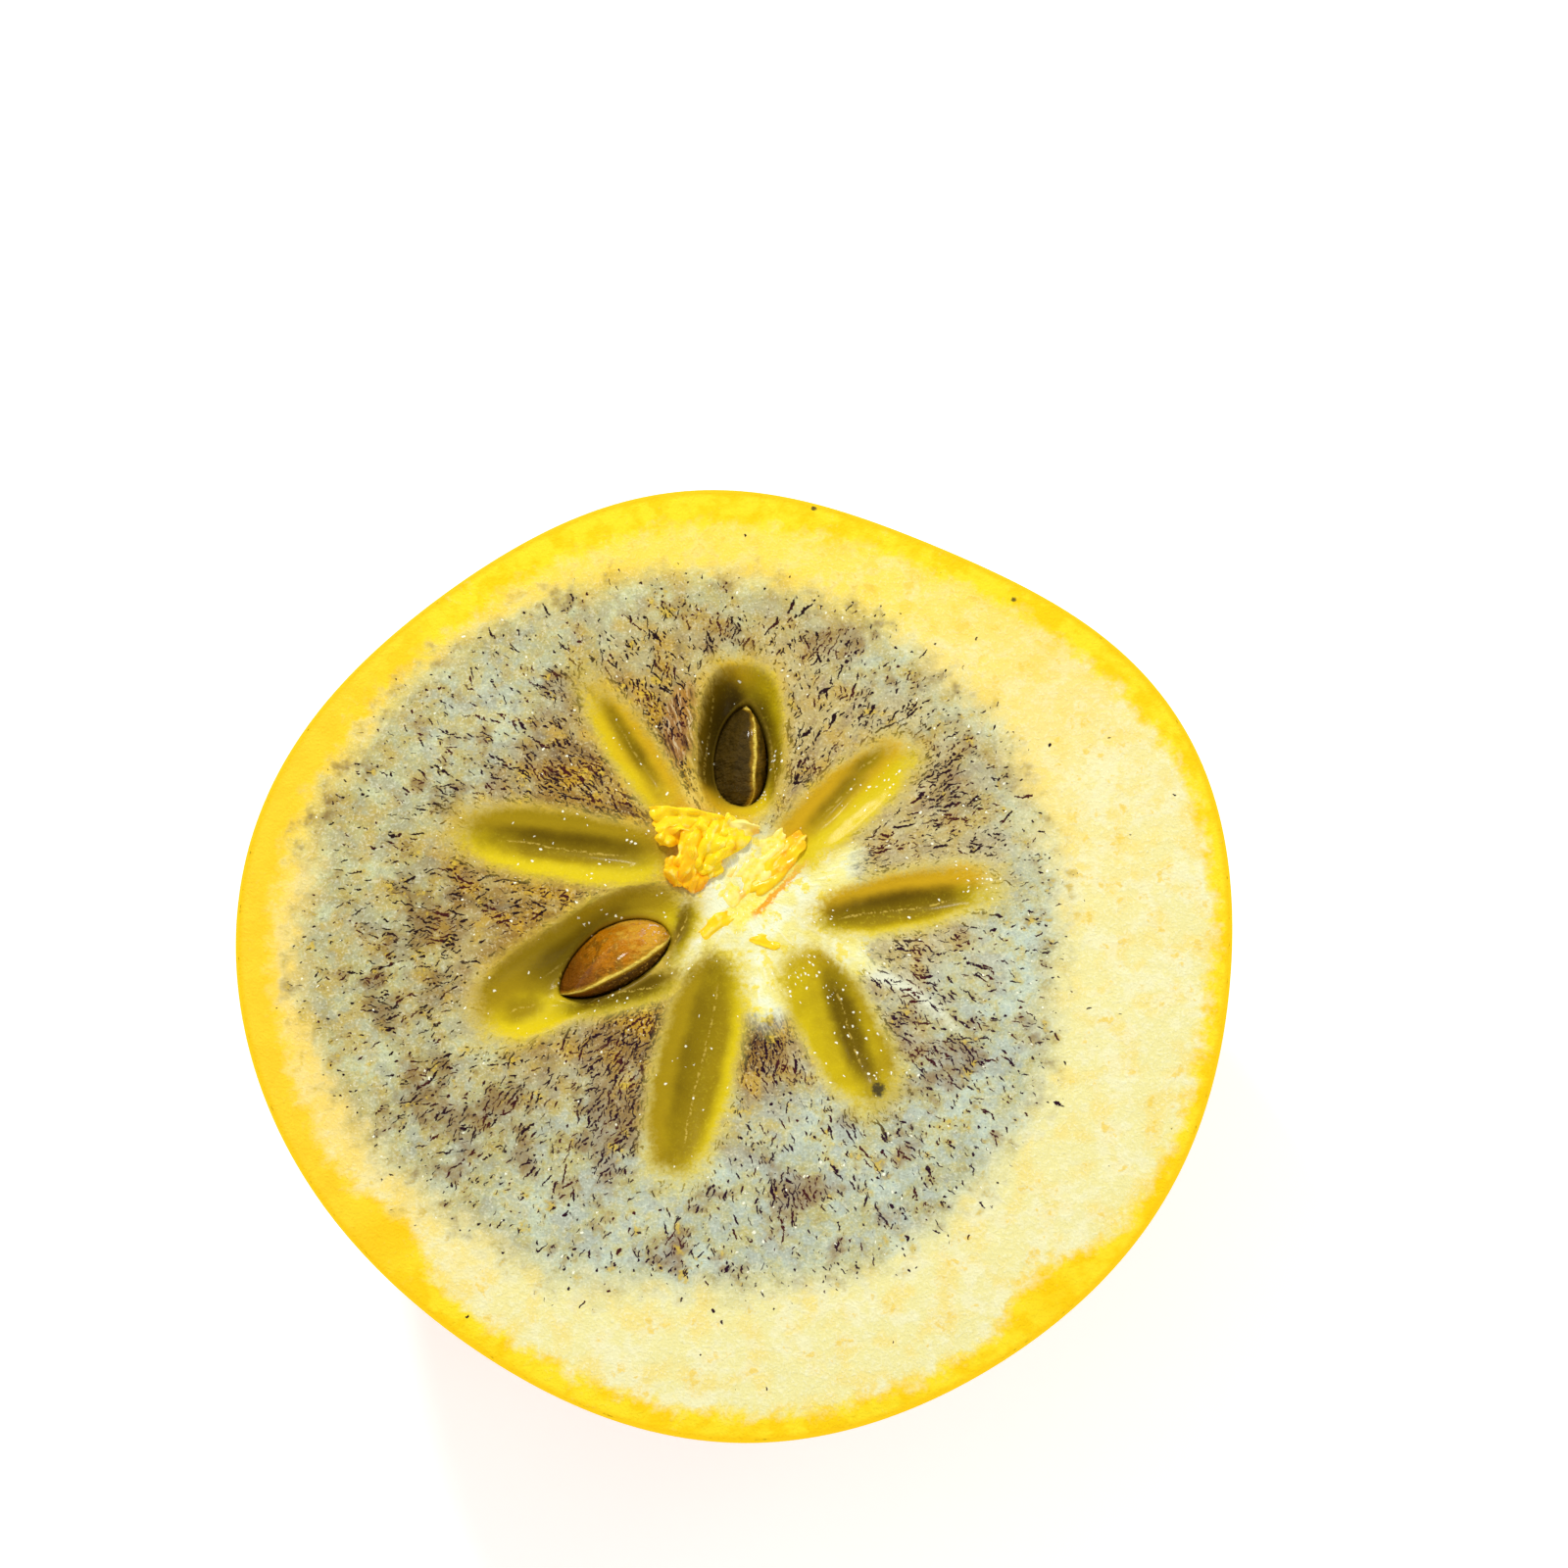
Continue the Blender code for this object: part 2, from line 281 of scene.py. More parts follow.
class Value:
    """A number or a colour that varies over a surface."""

    def __init__(self, finish, socket):
        self.finish = finish
        self.socket = socket

    def __add__(self, other):
        return self.finish.math("ADD", self, other)

    def __sub__(self, other):
        return self.finish.math("SUBTRACT", self, other)

    def __rsub__(self, other):
        return self.finish.math("SUBTRACT", other, self)

    def __mul__(self, other):
        return self.finish.math("MULTIPLY", self, other)

    def __truediv__(self, other):
        return self.finish.math("DIVIDE", self, other)

    def __abs__(self):
        return self.finish.math("ABSOLUTE", self)

    __radd__ = __add__
    __rmul__ = __mul__

    def most(self, other):
        """The larger of two numbers."""
        return self.finish.math("MAXIMUM", self, other)

    def sway(self, width):
        """Noise about 0.5 as a swing about 0, so wide."""
        return (self - 0.5) * width

    def rise(self, low, high):
        """0 below low, 1 above high and smooth between; falls where high is the smaller."""
        if low > high:
            return 1 - self.rise(high, low)
        made = self.finish.node("MapRange", {"interpolation_type": "SMOOTHSTEP"},
                                {"Value": self, "From Min": low, "From Max": high})
        return self.finish.out(made)


class Finish:
    """One material, built on a Principled shader."""

    def __init__(self, name, **constants):
        self.material = bpy.data.materials.new(name)
        self.material.use_nodes = True
        self.tree = self.material.node_tree
        self.shader = self.tree.nodes["Principled BSDF"]
        self.set(**constants)

    def set(self, **sockets):
        """Fills the shader's sockets."""
        for socket, value in sockets.items():
            self.plug(self.shader.inputs[socket.replace("_", " ")], value)

    def plug(self, socket, value):
        """Links a Value to a socket, or sets a plain number, colour or vector there."""
        if isinstance(value, Value):
            self.tree.links.new(value.socket, socket)
        else:
            socket.default_value = value

    def node(self, kind, settings, inputs):
        """Adds a node, makes its settings, then fills its sockets by name or number."""
        made = self.tree.nodes.new("ShaderNode" + kind)
        for setting, value in settings.items():
            setattr(made, setting, value)
        for key, value in inputs.items():
            self.plug(made.inputs[key], value)
        return made

    def out(self, node, key=0):
        """One output of a node as a Value."""
        return Value(self, node.outputs[key])

    def math(self, operation, first, second=0.0):
        """One Math node."""
        return self.out(self.node("Math", {"operation": operation}, {0: first, 1: second}))

    def vector(self, operation, first, second=(0, 0, 0), key=0):
        """One Vector Math node."""
        made = self.node("VectorMath", {"operation": operation}, {0: first, 1: second})
        return self.out(made, key)

    def split(self, value):
        """The three parts of a vector."""
        made = self.node("SeparateXYZ", {}, {0: value})
        return [self.out(made, key) for key in range(3)]

    def join(self, x, y, z=0.0):
        """A vector from three numbers."""
        return self.out(self.node("CombineXYZ", {}, {0: x, 1: y, 2: z}))

    def noise(self, place, scale, detail, roughness):
        """Smooth noise about 0.5; the scale is in lumps to a millimetre."""
        made = self.node("TexNoise", {}, {"Vector": place, "Scale": scale, "Detail": detail,
                                          "Roughness": roughness})
        return self.out(made, "Fac")

    def note(self, name):
        """The three numbers stored on the mesh under a name."""
        made = self.node("Attribute", {"attribute_name": name}, {})
        return self.split(self.out(made, "Vector"))

    def place(self, centre=(0, 0, 0)):
        """The place on the object in millimetres, counted from a centre in metres."""
        where = self.out(self.node("TexCoord", {}, {}), "Object")
        moved = self.vector("SUBTRACT", where, tuple(centre))
        made = self.node("VectorMath", {"operation": "SCALE"}, {0: moved, "Scale": 1 / MM})
        return self.out(made)

    def mix(self, share, first, second):
        """One colour turning into another."""
        made = self.node("Mix", {"data_type": "RGBA"}, {0: share, 6: first, 7: second})
        return self.out(made, 2)

    def color(self, told, between):
        """A colour told as a Value, as a screen colour, or as two that a number goes between."""
        if isinstance(told, Value):
            return told
        if isinstance(told[0], tuple):
            return self.mix(between, *(self.color(one, None) for one in told))
        return (*(linear(part / 255) for part in told), 1.0)

    def layers(self, first, *rows, between=None):
        """A first colour, with others laid over it: rows of a share and a colour."""
        color = self.color(first, between)
        for share, over in rows:
            color = self.mix(share, color, self.color(over, between))
        return color

    def bump(self, height, strength, distance):
        """Leans the surface by a height, whose unit is the distance in metres."""
        made = self.node("Bump", {}, {"Strength": strength, "Distance": distance, "Height": height})
        self.plug(self.shader.inputs["Normal"], self.out(made, "Normal"))


def linear(part):
    """A screen colour's part, from 0 to 1, as the linear one that shaders use."""
    return part / 12.92 if part <= 0.04045 else ((part + 0.055) / 1.055) ** 2.4


def paint_stage(piece, name, glow):
    """Matt white that glows a little, so that floor and backdrop blend."""
    finish = Finish(name, Roughness=0.9, Emission_Strength=glow, Emission_Color=(1, 1, 1, 1))
    finish.set(Base_Color=finish.color((252, 252, 252), None))
    piece.data.materials.append(finish.material)


paint_stage(floor, "white_floor", FLOOR_GLOW)
paint_stage(backdrop, "white_backdrop", BACKDROP_GLOW)

# %% [markdown]
# ## The skin
# The skin is a thin silky sheet round the flesh. It could be a turned profile, but a
# sphere gives even faces and its poles meet cleanly, so a sphere is moved to the wall's
# formula, bisected at the cut and thickened inwards. Its cut edge is then set level, so it
# shows as the thin yellow line round the flesh.

# %% The skin
SKIN_SEGMENTS = 320
SKIN_RINGS = 200
# Height, size and seed of the low swells, and how far below the cut they begin and are full.
SKIN_SWELLS = ((0.16, 14, 3), (0.05, 4.5, 5))
SKIN_CALM = (0.5, 6)
EDGE_LEVELLED = 0.12


def outside_places(directions):
    """Moves points of the unit sphere to the fruit's outside."""
    x, y, z = directions.T
    around = np.arctan2(y, x)
    across = np.minimum(np.hypot(x, y), 1)
    reach = lobed(around) / CUT_SHARE * across ** (2 / WALL_POWER)
    height = WIDEST_HEIGHT + BODY_DEPTH * z
    dimple = DIMPLE_DEPTH * np.exp(-(reach / DIMPLE_RADIUS) ** 2)
    height = np.where(z < 0, height + dimple, height)
    return columns(reach * np.cos(around) - MIDDLE[0], reach * np.sin(around) - MIDDLE[1], height)


def make_skin():
    """The skin as a thin closed shell."""
    bpy.ops.mesh.primitive_uv_sphere_add(segments=SKIN_SEGMENTS, ring_count=SKIN_RINGS, radius=1)
    skin = added("skin")
    directions = places(skin) * MM
    spots = outside_places(directions)
    calm = soft_step(CUT_HEIGHT - spots[:, 2], *SKIN_CALM)
    put(skin, spots + directions * (swells(spots, SKIN_SWELLS) * calm)[:, None])
    with edit_mode(skin):
        bpy.ops.mesh.bisect(plane_co=(0, 0, CUT_HEIGHT * MM), plane_no=(0, 0, 1), clear_outer=True,
                            threshold=1e-6)
    use_modifier(skin, "SOLIDIFY", thickness=SKIN_THICKNESS * MM, offset=-1.0, use_even_offset=True)
    spots = places(skin)
    spots[:, 2] = np.where(spots[:, 2] > CUT_HEIGHT - EDGE_LEVELLED, CUT_HEIGHT, spots[:, 2])
    put(skin, spots)
    smooth(skin, 50)
    return skin


skin = make_skin()

# %% [markdown]
# ## Pockets and seeds
# Eight long pockets stand round the core like the petals of a daisy. Six are empty and
# full of jelly that sinks a little, and two hold a seed. Each is a blunt ellipse with its
# own direction, so one function can say how far any place is inside it.

# %% Pockets and seeds
# Direction and distance of the middle from the core, own direction, length, width, depth.
POCKETS = {
    "pocket_upper_left": (127, 13.6, 124, 11.6, 3.1, 0.7),
    "pocket_upper_right": (42, 10.2, 42, 13.0, 4.5, 1.0),
    "pocket_right": (-3.5, 12.2, 12, 12.8, 4.2, 0.9),
    "pocket_lower_right": (-54.7, 12.7, -62, 12.6, 5.4, 1.0),
    "pocket_bottom": (-104, 13.6, -102, 16.4, 5.6, 1.0),
    "pocket_left": (165, 13.7, 170.5, 15.8, 5.1, 1.0),
    "hollow_left": (-156, 13.1, -147.5, 17.3, 6.9, 1.8),
    "hollow_top": (90.5, 12.0, 88, 12.2, 6.5, 3.8),
}
# Steepness of a pocket's walls and share of its depth, where it holds a seed and where not.
HOLLOW_FORM = (0.75, 1)
POCKET_FORM = (1.3, 0.5)
POCKET_BLUNTNESS = 2.7
# The darker jelly along the middle of the pockets, and painted shade and shadow in the hollows with
# seeds: the same, with its tone and sink.
DARK_JELLY_AND_SHADE = (
    (126.2, 14.6, 122, 8.4, 1.1, 0.45, 0.4),
    (45, 10.6, 48, 7.6, 1.3, 0.1, 0.35),
    (-6.0, 12.0, 10, 11.4, 2.7, 0.6, 0.45),
    (-52.0, 13.2, -71, 9.6, 1.9, 0.75, 0.45),
    (-102.6, 13.6, -101.5, 15.2, 3.4, 0.35, 0.4),
    (165.4, 14.1, 173, 12.6, 2.5, 0.5, 0.45),
    (-161, 12.4, -146, 9.8, 3.1, 0.22, 0.3),
    (46.5, 14.2, 38, 3.2, 1.3, 0.3, 0.1),
    (-152, 18.7, -158, 2.8, 1.8, 0.0, 0),
    # The last four rows add no sink: painted shadow under the left seed, and painted shade round the
    # top seed in its hollow.
    (-139, 12.0, 14, 8.5, 2.0, 0.9, 0),
    (-146, 5.5, -111, 4.5, 1.5, 0.7, 0),
    (101, 13.4, 86, 9.5, 5.6, 1.1, 0),
    (78, 11.3, 100, 9.0, 2.0, 0.45, 0),
)
# How much darker the dark jelly is painted on its side towards the light, and lighter on the other:
# painted shade.
JELLY_SHADE = 0.35
# Where the jelly's colour, with the painted shadow under the left seed, spills past the left seed's
# hollow, stated the same way.
SHADOW_SPILLS = ((-139, 12.0, 14, 9.0, 2.2), (-146, 5.4, -111, 5.0, 1.8))
# Direction and distance of the middle from the core, own direction, top, lean.
SEEDS = {
    "seed_left": (-162, 11.0, -150, 1.8, -27),
    "seed_top": (100, 11.4, 89, -0.3, 24),
}
# Half of a seed's width, thickness and height.
SEED_HALF = np.array((10.8, 5.7, 15.0)) / 2
SEED_BLUNTNESS = 2.7
SEED_POINT = 0.4


def on_core(direction, distance):
    """A place on the cut face, from the core."""
    turn = math.radians(direction)
    return np.array((math.cos(turn), math.sin(turn), 0)) * distance + CORE


def blunt_length(across, along, power):
    """The length of a vector in a blunt measure, whose circle is a rounded square."""
    return (np.abs(across) ** power + np.abs(along) ** power) ** (1 / power)


def in_pocket(spots, pocket):
    """Where places are in a pocket: share of the way to its edge, and along and across."""
    direction, distance, own_direction, length, width = pocket[:5]
    turn = math.radians(own_direction)
    off = spots - on_core(direction, distance)
    along = (off[:, 0] * math.cos(turn) + off[:, 1] * math.sin(turn)) / (length / 2)
    across = (off[:, 1] * math.cos(turn) - off[:, 0] * math.sin(turn)) / (width / 2)
    return blunt_length(along, across, POCKET_BLUNTNESS), along, across


def seed_place(seed):
    """The transform from a seed's own axes, in millimetres, to the fruit."""
    direction, distance, own_direction, top, lean = seed
    middle = on_core(direction, distance) + np.array((0, 0, top - SEED_HALF[2]))
    turn = Matrix.Rotation(math.radians(own_direction), 4, "Z")
    return Matrix.Translation(middle) @ turn @ Matrix.Rotation(math.radians(lean), 4, "X")


def seed_gap(spots, seed):
    """About how far places are from a seed's surface, negative inside."""
    to_seed = np.array(seed_place(seed).inverted())
    own = spots @ to_seed[:3, :3].T + to_seed[:3, 3]
    out, side, up = (own / SEED_HALF).T
    radius = blunt_length(out, up, SEED_BLUNTNESS)
    blunt = radius / np.maximum(np.hypot(out, up), 1e-6)
    thin = np.maximum(1 - np.maximum(out * blunt, 0), 0.05) ** SEED_POINT
    return (np.hypot(radius, side / thin) - 1) * SEED_HALF[1]


print(len(POCKETS), "pockets,", len(SEEDS), "seeds")

# %% [markdown]
# ## The flesh
# The cut face is what everyone looks at, so it gets a fine even mesh: a square grid is
# bent into the fruit's outline, which keeps the faces alike from the core to the rim. The
# jelly sinks in each pocket, and opens in a slit with a thin lip where a seed stands. The
# grid's border is then extruded down inside the skin and filled, so the flesh is a solid.

# %% The flesh
FLESH_STEPS = 280
FLESH_FLOOR = 7.5
FLESH_IN_SKIN = 0.04
FLESH_RIPPLES = ((0.05, 6, 11), (0.035, 1.3, 12))
WALL_RINGS = 9
# The slit round a seed and its lip, by the gap from the seed.
SLIT_DEPTH = 2.4
SLIT_GAPS = (0.1, -0.35)
LIP_HEIGHT = 0.14
LIP_GAP = 0.3
LIP_WIDTH = 0.16
# Direction towards the light on the cut face, which the pockets' painted shade follows.
TOWARDS_LIGHT = (-0.35, 0.94)
# Place from the core, radius and amount of the dark clusters, and of paler patches.
STAINS = (
    (-14.6, 16.5, 3.0, 0.08), (-23.5, -0.5, 4.5, 0.22), (-9.0, -17.0, 4.2, 0.22),
    (1.2, -10.9, 2.2, 0.5), (15.8, 9.1, 3.2, 0.20), (14.9, -3.8, 2.4, 0.10),
    (16.2, -11.8, 2.8, 0.20), (-4.8, -27.4, 2.2, 0.10), (3.8, -22.4, 2.4, 0.26),
    (-26.0, -9.2, 2.4, 0.16), (-13.5, 9.4, 3.0, 0.22), (10.5, -16.5, 2.4, 0.18),
    (-22.5, -16.0, 4.0, 0.12), (-17.5, -17.5, 2.6, 0.12), (-3.0, 22.0, 2.4, 0.12),
    (7.5, 20.0, 3.0, 0.12), (-21.0, 9.0, 2.6, 0.14), (-11.0, -3.0, 2.5, 0.15),
    (-6.1, 12.5, 1.8, 0.3), (-9.2, -10.8, 2.8, 0.22), (11.7, -11.6, 1.8, 0.3),
    (19.8, -6.0, 2.6, -0.16), (3.5, -18.5, 2.5, -0.14), (-19.5, -10.5, 2.6, -0.16),
    (21.0, 4.0, 2.6, -0.14), (0.5, 26.5, 3.0, -0.16), (-9.5, 21.5, 2.6, -0.14),
    (-28.0, 3.0, 2.6, -0.12),
)
# The same for the places where the zone is paler or, where negative, browner.
PALER = ((-19, 14, 8, 0.6), (-9, 9.5, 4, 0.5), (14, -8, 5, 0.35), (12, 20, 7, 0.4), (-4, -28, 5, 0.2),
         (-30, 0, 5, -0.3))
# The same for the painted wet glints beside the top seed and in the pockets' ends.
GLINTS = (
    (1.0, 13.4, 0.5, 1), (1.6, 12.3, 0.5, 1), (2.7, 10.7, 0.7, 1), (1.5, 8.0, 0.5, 1),
    (18.0, 0.3, 1.3, 1), (4.8, -6.1, 1.2, 1), (7.1, -7.9, 0.7, 1), (9.0, -10.6, 0.8, 1),
    (10.3, -13.6, 1.0, 1), (-9.0, -8.6, 0.9, 1), (-6.0, -5.4, 0.6, 1), (11.0, 9.0, 1.2, 1),
)
# Places from the core along a pale fibrous ray, its width, and where it fades out.
RAY = ((3.6, -3.6), (7.65, -5.3), (9.4, -6.0), (12.7, -7.5), (14.9, -9.2), (17.6, -12.0), (19.5, -14.5))
RAY_WIDTH = 0.75
RAY_FADE = (24, 12)
STAR_PLACE = (2.2, -2.0)
STAR_RADIUS = 6.3
# The torn fibres left of the top pocket: their place from the core, and reach each way.
FIBRES_PLACE = (-4.4, 12.5)
FIBRES_REACH = (1.7, 4.0)
# The speckled zone: middle, radius, squeeze along y, and a bulge by direction and spread.
ZONE_MIDDLE = (-3.9, 1.7)
ZONE_RADIUS = 29.2
ZONE_SQUEEZE = 1.035
ZONE_BULGE = (2.2, -45, 26)
BAND_WIDTH = 1.0
# Direction, spread and extra width of the places where the band is wider.
BAND_SWELLS = ((180, 55, 1.2), (144, 13, 0.8), (-139, 6, 1.9), (-48, 7, 2.2), (98, 34, 1.3),
               (38, 16, 0.9), (-90, 25, 0.5))


def disc_from_square(grid):
    """Bends a square of side 2 into a disc of radius 1: radius and direction."""
    a, b = grid[:, 0], grid[:, 1]
    wide = np.abs(a) > np.abs(b)
    radius = np.where(wide, a, b)
    safe = np.where(radius == 0, 1, radius)
    turn = np.where(wide, math.pi / 4 * b / safe, math.pi / 2 - math.pi / 4 * a / safe)
    return radius, turn


def relief(spots):
    """How far the cut face stands above or below the cut."""
    height = np.zeros(len(spots))
    for name, pocket in POCKETS.items():
        steep, amount = HOLLOW_FORM if name.startswith("hollow") else POCKET_FORM
        height -= amount * pocket[5] * np.clip(1 - in_pocket(spots, pocket)[0] ** 2, 0, 1) ** steep
    for row in DARK_JELLY_AND_SHADE:
        height -= row[6] * np.clip(1 - in_pocket(spots, row)[0] ** 2, 0, 1)
    jelly = columns(spots[:, 0], spots[:, 1], CUT_HEIGHT + height)
    for seed in SEEDS.values():
        gap = seed_gap(jelly, seed)
        height += LIP_HEIGHT * np.exp(-((gap - LIP_GAP) / LIP_WIDTH) ** 2)
        height -= SLIT_DEPTH * soft_step(gap, *SLIT_GAPS)
    return height


def make_flesh():
    """The finely meshed cut face, with what its colours need."""
    bpy.ops.mesh.primitive_grid_add(x_subdivisions=FLESH_STEPS, y_subdivisions=FLESH_STEPS, size=2)
    flesh = added("flesh")
    radius, turn = disc_from_square(places(flesh) * MM)
    edge = lobed(turn + np.where(radius < 0, math.pi, 0)) - SKIN_THICKNESS + FLESH_IN_SKIN
    spots = columns(radius * edge * np.cos(turn) - MIDDLE[0],
                    radius * edge * np.sin(turn) - MIDDLE[1], CUT_HEIGHT)
    rim = (1 - np.abs(radius)) * edge
    spots[:, 2] += relief(spots) + swells(spots, FLESH_RIPPLES) * soft_step(rim, 0, 1.0)
    put(flesh, spots)
    add_flesh_notes(flesh, spots, rim)
    return flesh


def add_flesh_notes(flesh, spots, rim):
    """Keeps the distances that the flesh's colours follow."""
    off = spots[:, :2] - CORE[:2]
    inside, shade = np.full(len(spots), -99.0), np.zeros(len(spots))
    for pocket in (*POCKETS.values(), *SHADOW_SPILLS):
        share, _, across = in_pocket(spots, pocket)
        depth = (1 - share) * pocket[4] / 2
        shade = np.where(depth > inside, across * lit_side(pocket), shade)
        inside = np.maximum(inside, depth)
    gap = np.min([seed_gap(spots, seed) for seed in SEEDS.values()], axis=0)
    wedge = between_pockets(np.degrees(np.arctan2(off[:, 1], off[:, 0])))
    star = STAR_RADIUS - np.hypot(*(off - STAR_PLACE).T)
    x, y = (spots[:, :2] - ZONE_MIDDLE).T
    bulge, direction, spread = ZONE_BULGE
    zone = ZONE_RADIUS - np.hypot(x, y * ZONE_SQUEEZE)
    zone += bulge * np.exp(-((np.degrees(np.arctan2(y, x)) - direction) / spread) ** 2)
    fibrous = np.exp(-(((off - FIBRES_PLACE) / FIBRES_REACH) ** 2).sum(axis=1))
    off_ray = np.min([off_line(off, *ends) for ends in zip(RAY, RAY[1:])], axis=0)
    way_out = np.hypot(*off.T)
    ray_width = RAY_WIDTH * (0.7 + 1.8 * soft_step(way_out, 13, 5))
    white_rays = np.exp(-(off_ray / ray_width) ** 2) * soft_step(way_out, *RAY_FADE)
    keep_note(flesh, "jelly", *jelly_note(spots))
    keep_note(flesh, "pockets", inside, shade, 0)
    keep_note(flesh, "core", gap, wedge, star)
    keep_note(flesh, "zones", rim, band_width(spots), zone)
    keep_note(flesh, "stains", blobs(off, STAINS), fibrous, white_rays)
    keep_note(flesh, "glints", blobs(off, GLINTS), blobs(off, PALER), 0)


def blobs(off, rows):
    """A sum of soft round blobs, each with its place, radius and amount."""
    return sum(amount * np.exp(-((off[:, 0] - x) ** 2 + (off[:, 1] - y) ** 2) / radius ** 2)
               for x, y, radius, amount in rows)


def off_line(spots, start, end):
    """How far places are from a straight line between two points."""
    way = np.subtract(end, start)
    share = np.clip((spots - start) @ way / (way @ way), 0, 1)
    return np.hypot(*(spots - start - share[:, None] * way).T)


def lit_side(pocket):
    """How much the left side of a pocket, seen along it, is on the side of the light."""
    turn = math.radians(pocket[2])
    return -math.sin(turn) * TOWARDS_LIGHT[0] + math.cos(turn) * TOWARDS_LIGHT[1]


def jelly_note(spots):
    """How deep places are in the dark jelly, how dark it is with its painted shade, and how far its
    middle is.
    """
    deep, off_middle = np.full((2, len(spots)), -99.0)
    tones, weights = np.zeros((2, len(spots)))
    for row in DARK_JELLY_AND_SHADE:
        share, along, across = in_pocket(spots, row)
        depth = (1 - share) * row[4] / 2
        weight = np.exp(np.clip(3 * depth, -60, 9))
        tones += weight * (row[5] + JELLY_SHADE * np.clip(across * lit_side(row), -1, 1))
        weights += weight
        off_middle = np.where(depth > deep, across * row[4] / 2 + 0.1 * np.sin(along * 4), off_middle)
        deep = np.maximum(deep, depth)
    return deep, tones / np.maximum(weights, 1e-20), off_middle


def between_pockets(around):
    """1 midway between two neighbouring pockets and 0 on them, by direction."""
    rays = np.sort([(pocket[0] + 180) % 360 - 180 for pocket in POCKETS.values()])
    rays = np.concatenate(([rays[-1] - 360], rays, [rays[0] + 360]))
    slot = np.clip(np.searchsorted(rays, around), 1, len(rays) - 1)
    way = (around - rays[slot - 1]) / (rays[slot] - rays[slot - 1])
    return 1 - np.abs(2 * way - 1)


def band_width(spots):
    """How wide the yellow band under the skin is."""
    around = np.degrees(np.arctan2(spots[:, 1], spots[:, 0]))
    width = np.full(len(spots), BAND_WIDTH)
    for direction, spread, wider in BAND_SWELLS:
        off = (around - direction + 180) % 360 - 180
        width += wider * np.exp(-(off / spread) ** 2)
    return width


def close_flesh(flesh):
    """Extrudes the grid's border down inside the skin and fills the bottom."""
    top = len(flesh.data.vertices)
    drop = (CUT_HEIGHT - FLESH_FLOOR) / WALL_RINGS * MM
    with edit_mode(flesh, "DESELECT"):
        bpy.ops.mesh.select_mode(type="EDGE")
        bpy.ops.mesh.select_non_manifold(extend=False)
        for _ in range(WALL_RINGS):
            bpy.ops.mesh.extrude_region_move(TRANSFORM_OT_translate={"value": (0, 0, -drop)})
        bpy.ops.mesh.edge_face_add()
        bpy.ops.mesh.select_all(action="SELECT")
        bpy.ops.mesh.normals_make_consistent(inside=False)
    spots = places(flesh)
    share = wall_share(spots[top:, 2]) / CUT_SHARE
    spots[top:, :2] = (spots[top:, :2] + MIDDLE) * share[:, None] - MIDDLE
    put(flesh, spots)
    return top


flesh = make_flesh()
flesh_top = close_flesh(flesh)
print("the cut face has", flesh_top, "vertices")

# %% [markdown]
# ## A map for the cut face
# The cut face should get nearly all of any image that its finish is baked to, so the flesh
# brings its own map: the cut face seen from above, with the hidden wall as a thin ring round
# it and the hidden bottom in a corner.

# %% A map for the cut face
FACE_SHARE = 0.47
WALL_SHARE = 0.49
BOTTOM_CORNER = 0.035
BOTTOM_SHARE = 0.03


def map_cut_face(flesh, top):
    """Lays the cut face flat in the map, with the wall as a ring round it."""
    spots = places(flesh)
    around = np.arctan2(spots[:, 1], spots[:, 0])
    reach = np.hypot(spots[:, 0], spots[:, 1])
    sunk = np.clip((CUT_HEIGHT - spots[:, 2]) / (CUT_HEIGHT - FLESH_FLOOR), 0, 1)
    widest = reach[:top].max()
    ring = edge_reach(around) / widest * FACE_SHARE + (WALL_SHARE - FACE_SHARE) * sunk
    is_wall = np.arange(len(spots)) >= top
    flat = np.where(is_wall, ring, reach / widest * FACE_SHARE)
    corners = np.empty(len(flesh.data.loops), np.int32)
    flesh.data.loops.foreach_get("vertex_index", corners)
    spread = columns(0.5 + flat * np.cos(around), 0.5 + flat * np.sin(around))[corners]
    for face in flesh.data.polygons:
        if len(face.vertices) > 4:
            chosen = list(face.loop_indices)
            spread[chosen] = BOTTOM_CORNER + (spread[chosen] - 0.5) * BOTTOM_SHARE
    layer = flesh.data.uv_layers.get("OFBake") or flesh.data.uv_layers.new(name="OFBake")
    layer.data.foreach_set("uv", spread.astype(np.float32).ravel())


def edge_reach(around):
    """The cut face's edge from the middle of the outline, by direction in radians."""
    turn = np.arange(1440) * math.tau / 1440 - math.pi
    x = lobed(turn) * np.cos(turn) - MIDDLE[0]
    y = lobed(turn) * np.sin(turn) - MIDDLE[1]
    order = np.argsort(np.arctan2(y, x))
    return np.interp(around, np.arctan2(y, x)[order], np.hypot(x, y)[order], period=math.tau)


map_cut_face(flesh, flesh_top)
smooth(flesh, 60)

# %% [markdown]
# ## Torn pulp
# The knife tore the core: soft bright pulp stands up in scraps beside the top pocket, and
# one long strip lies across the core. Each scrap is a small grid, made ragged along its
# border, bent, thickened and smoothed. Their places are those of the solids' lumps.

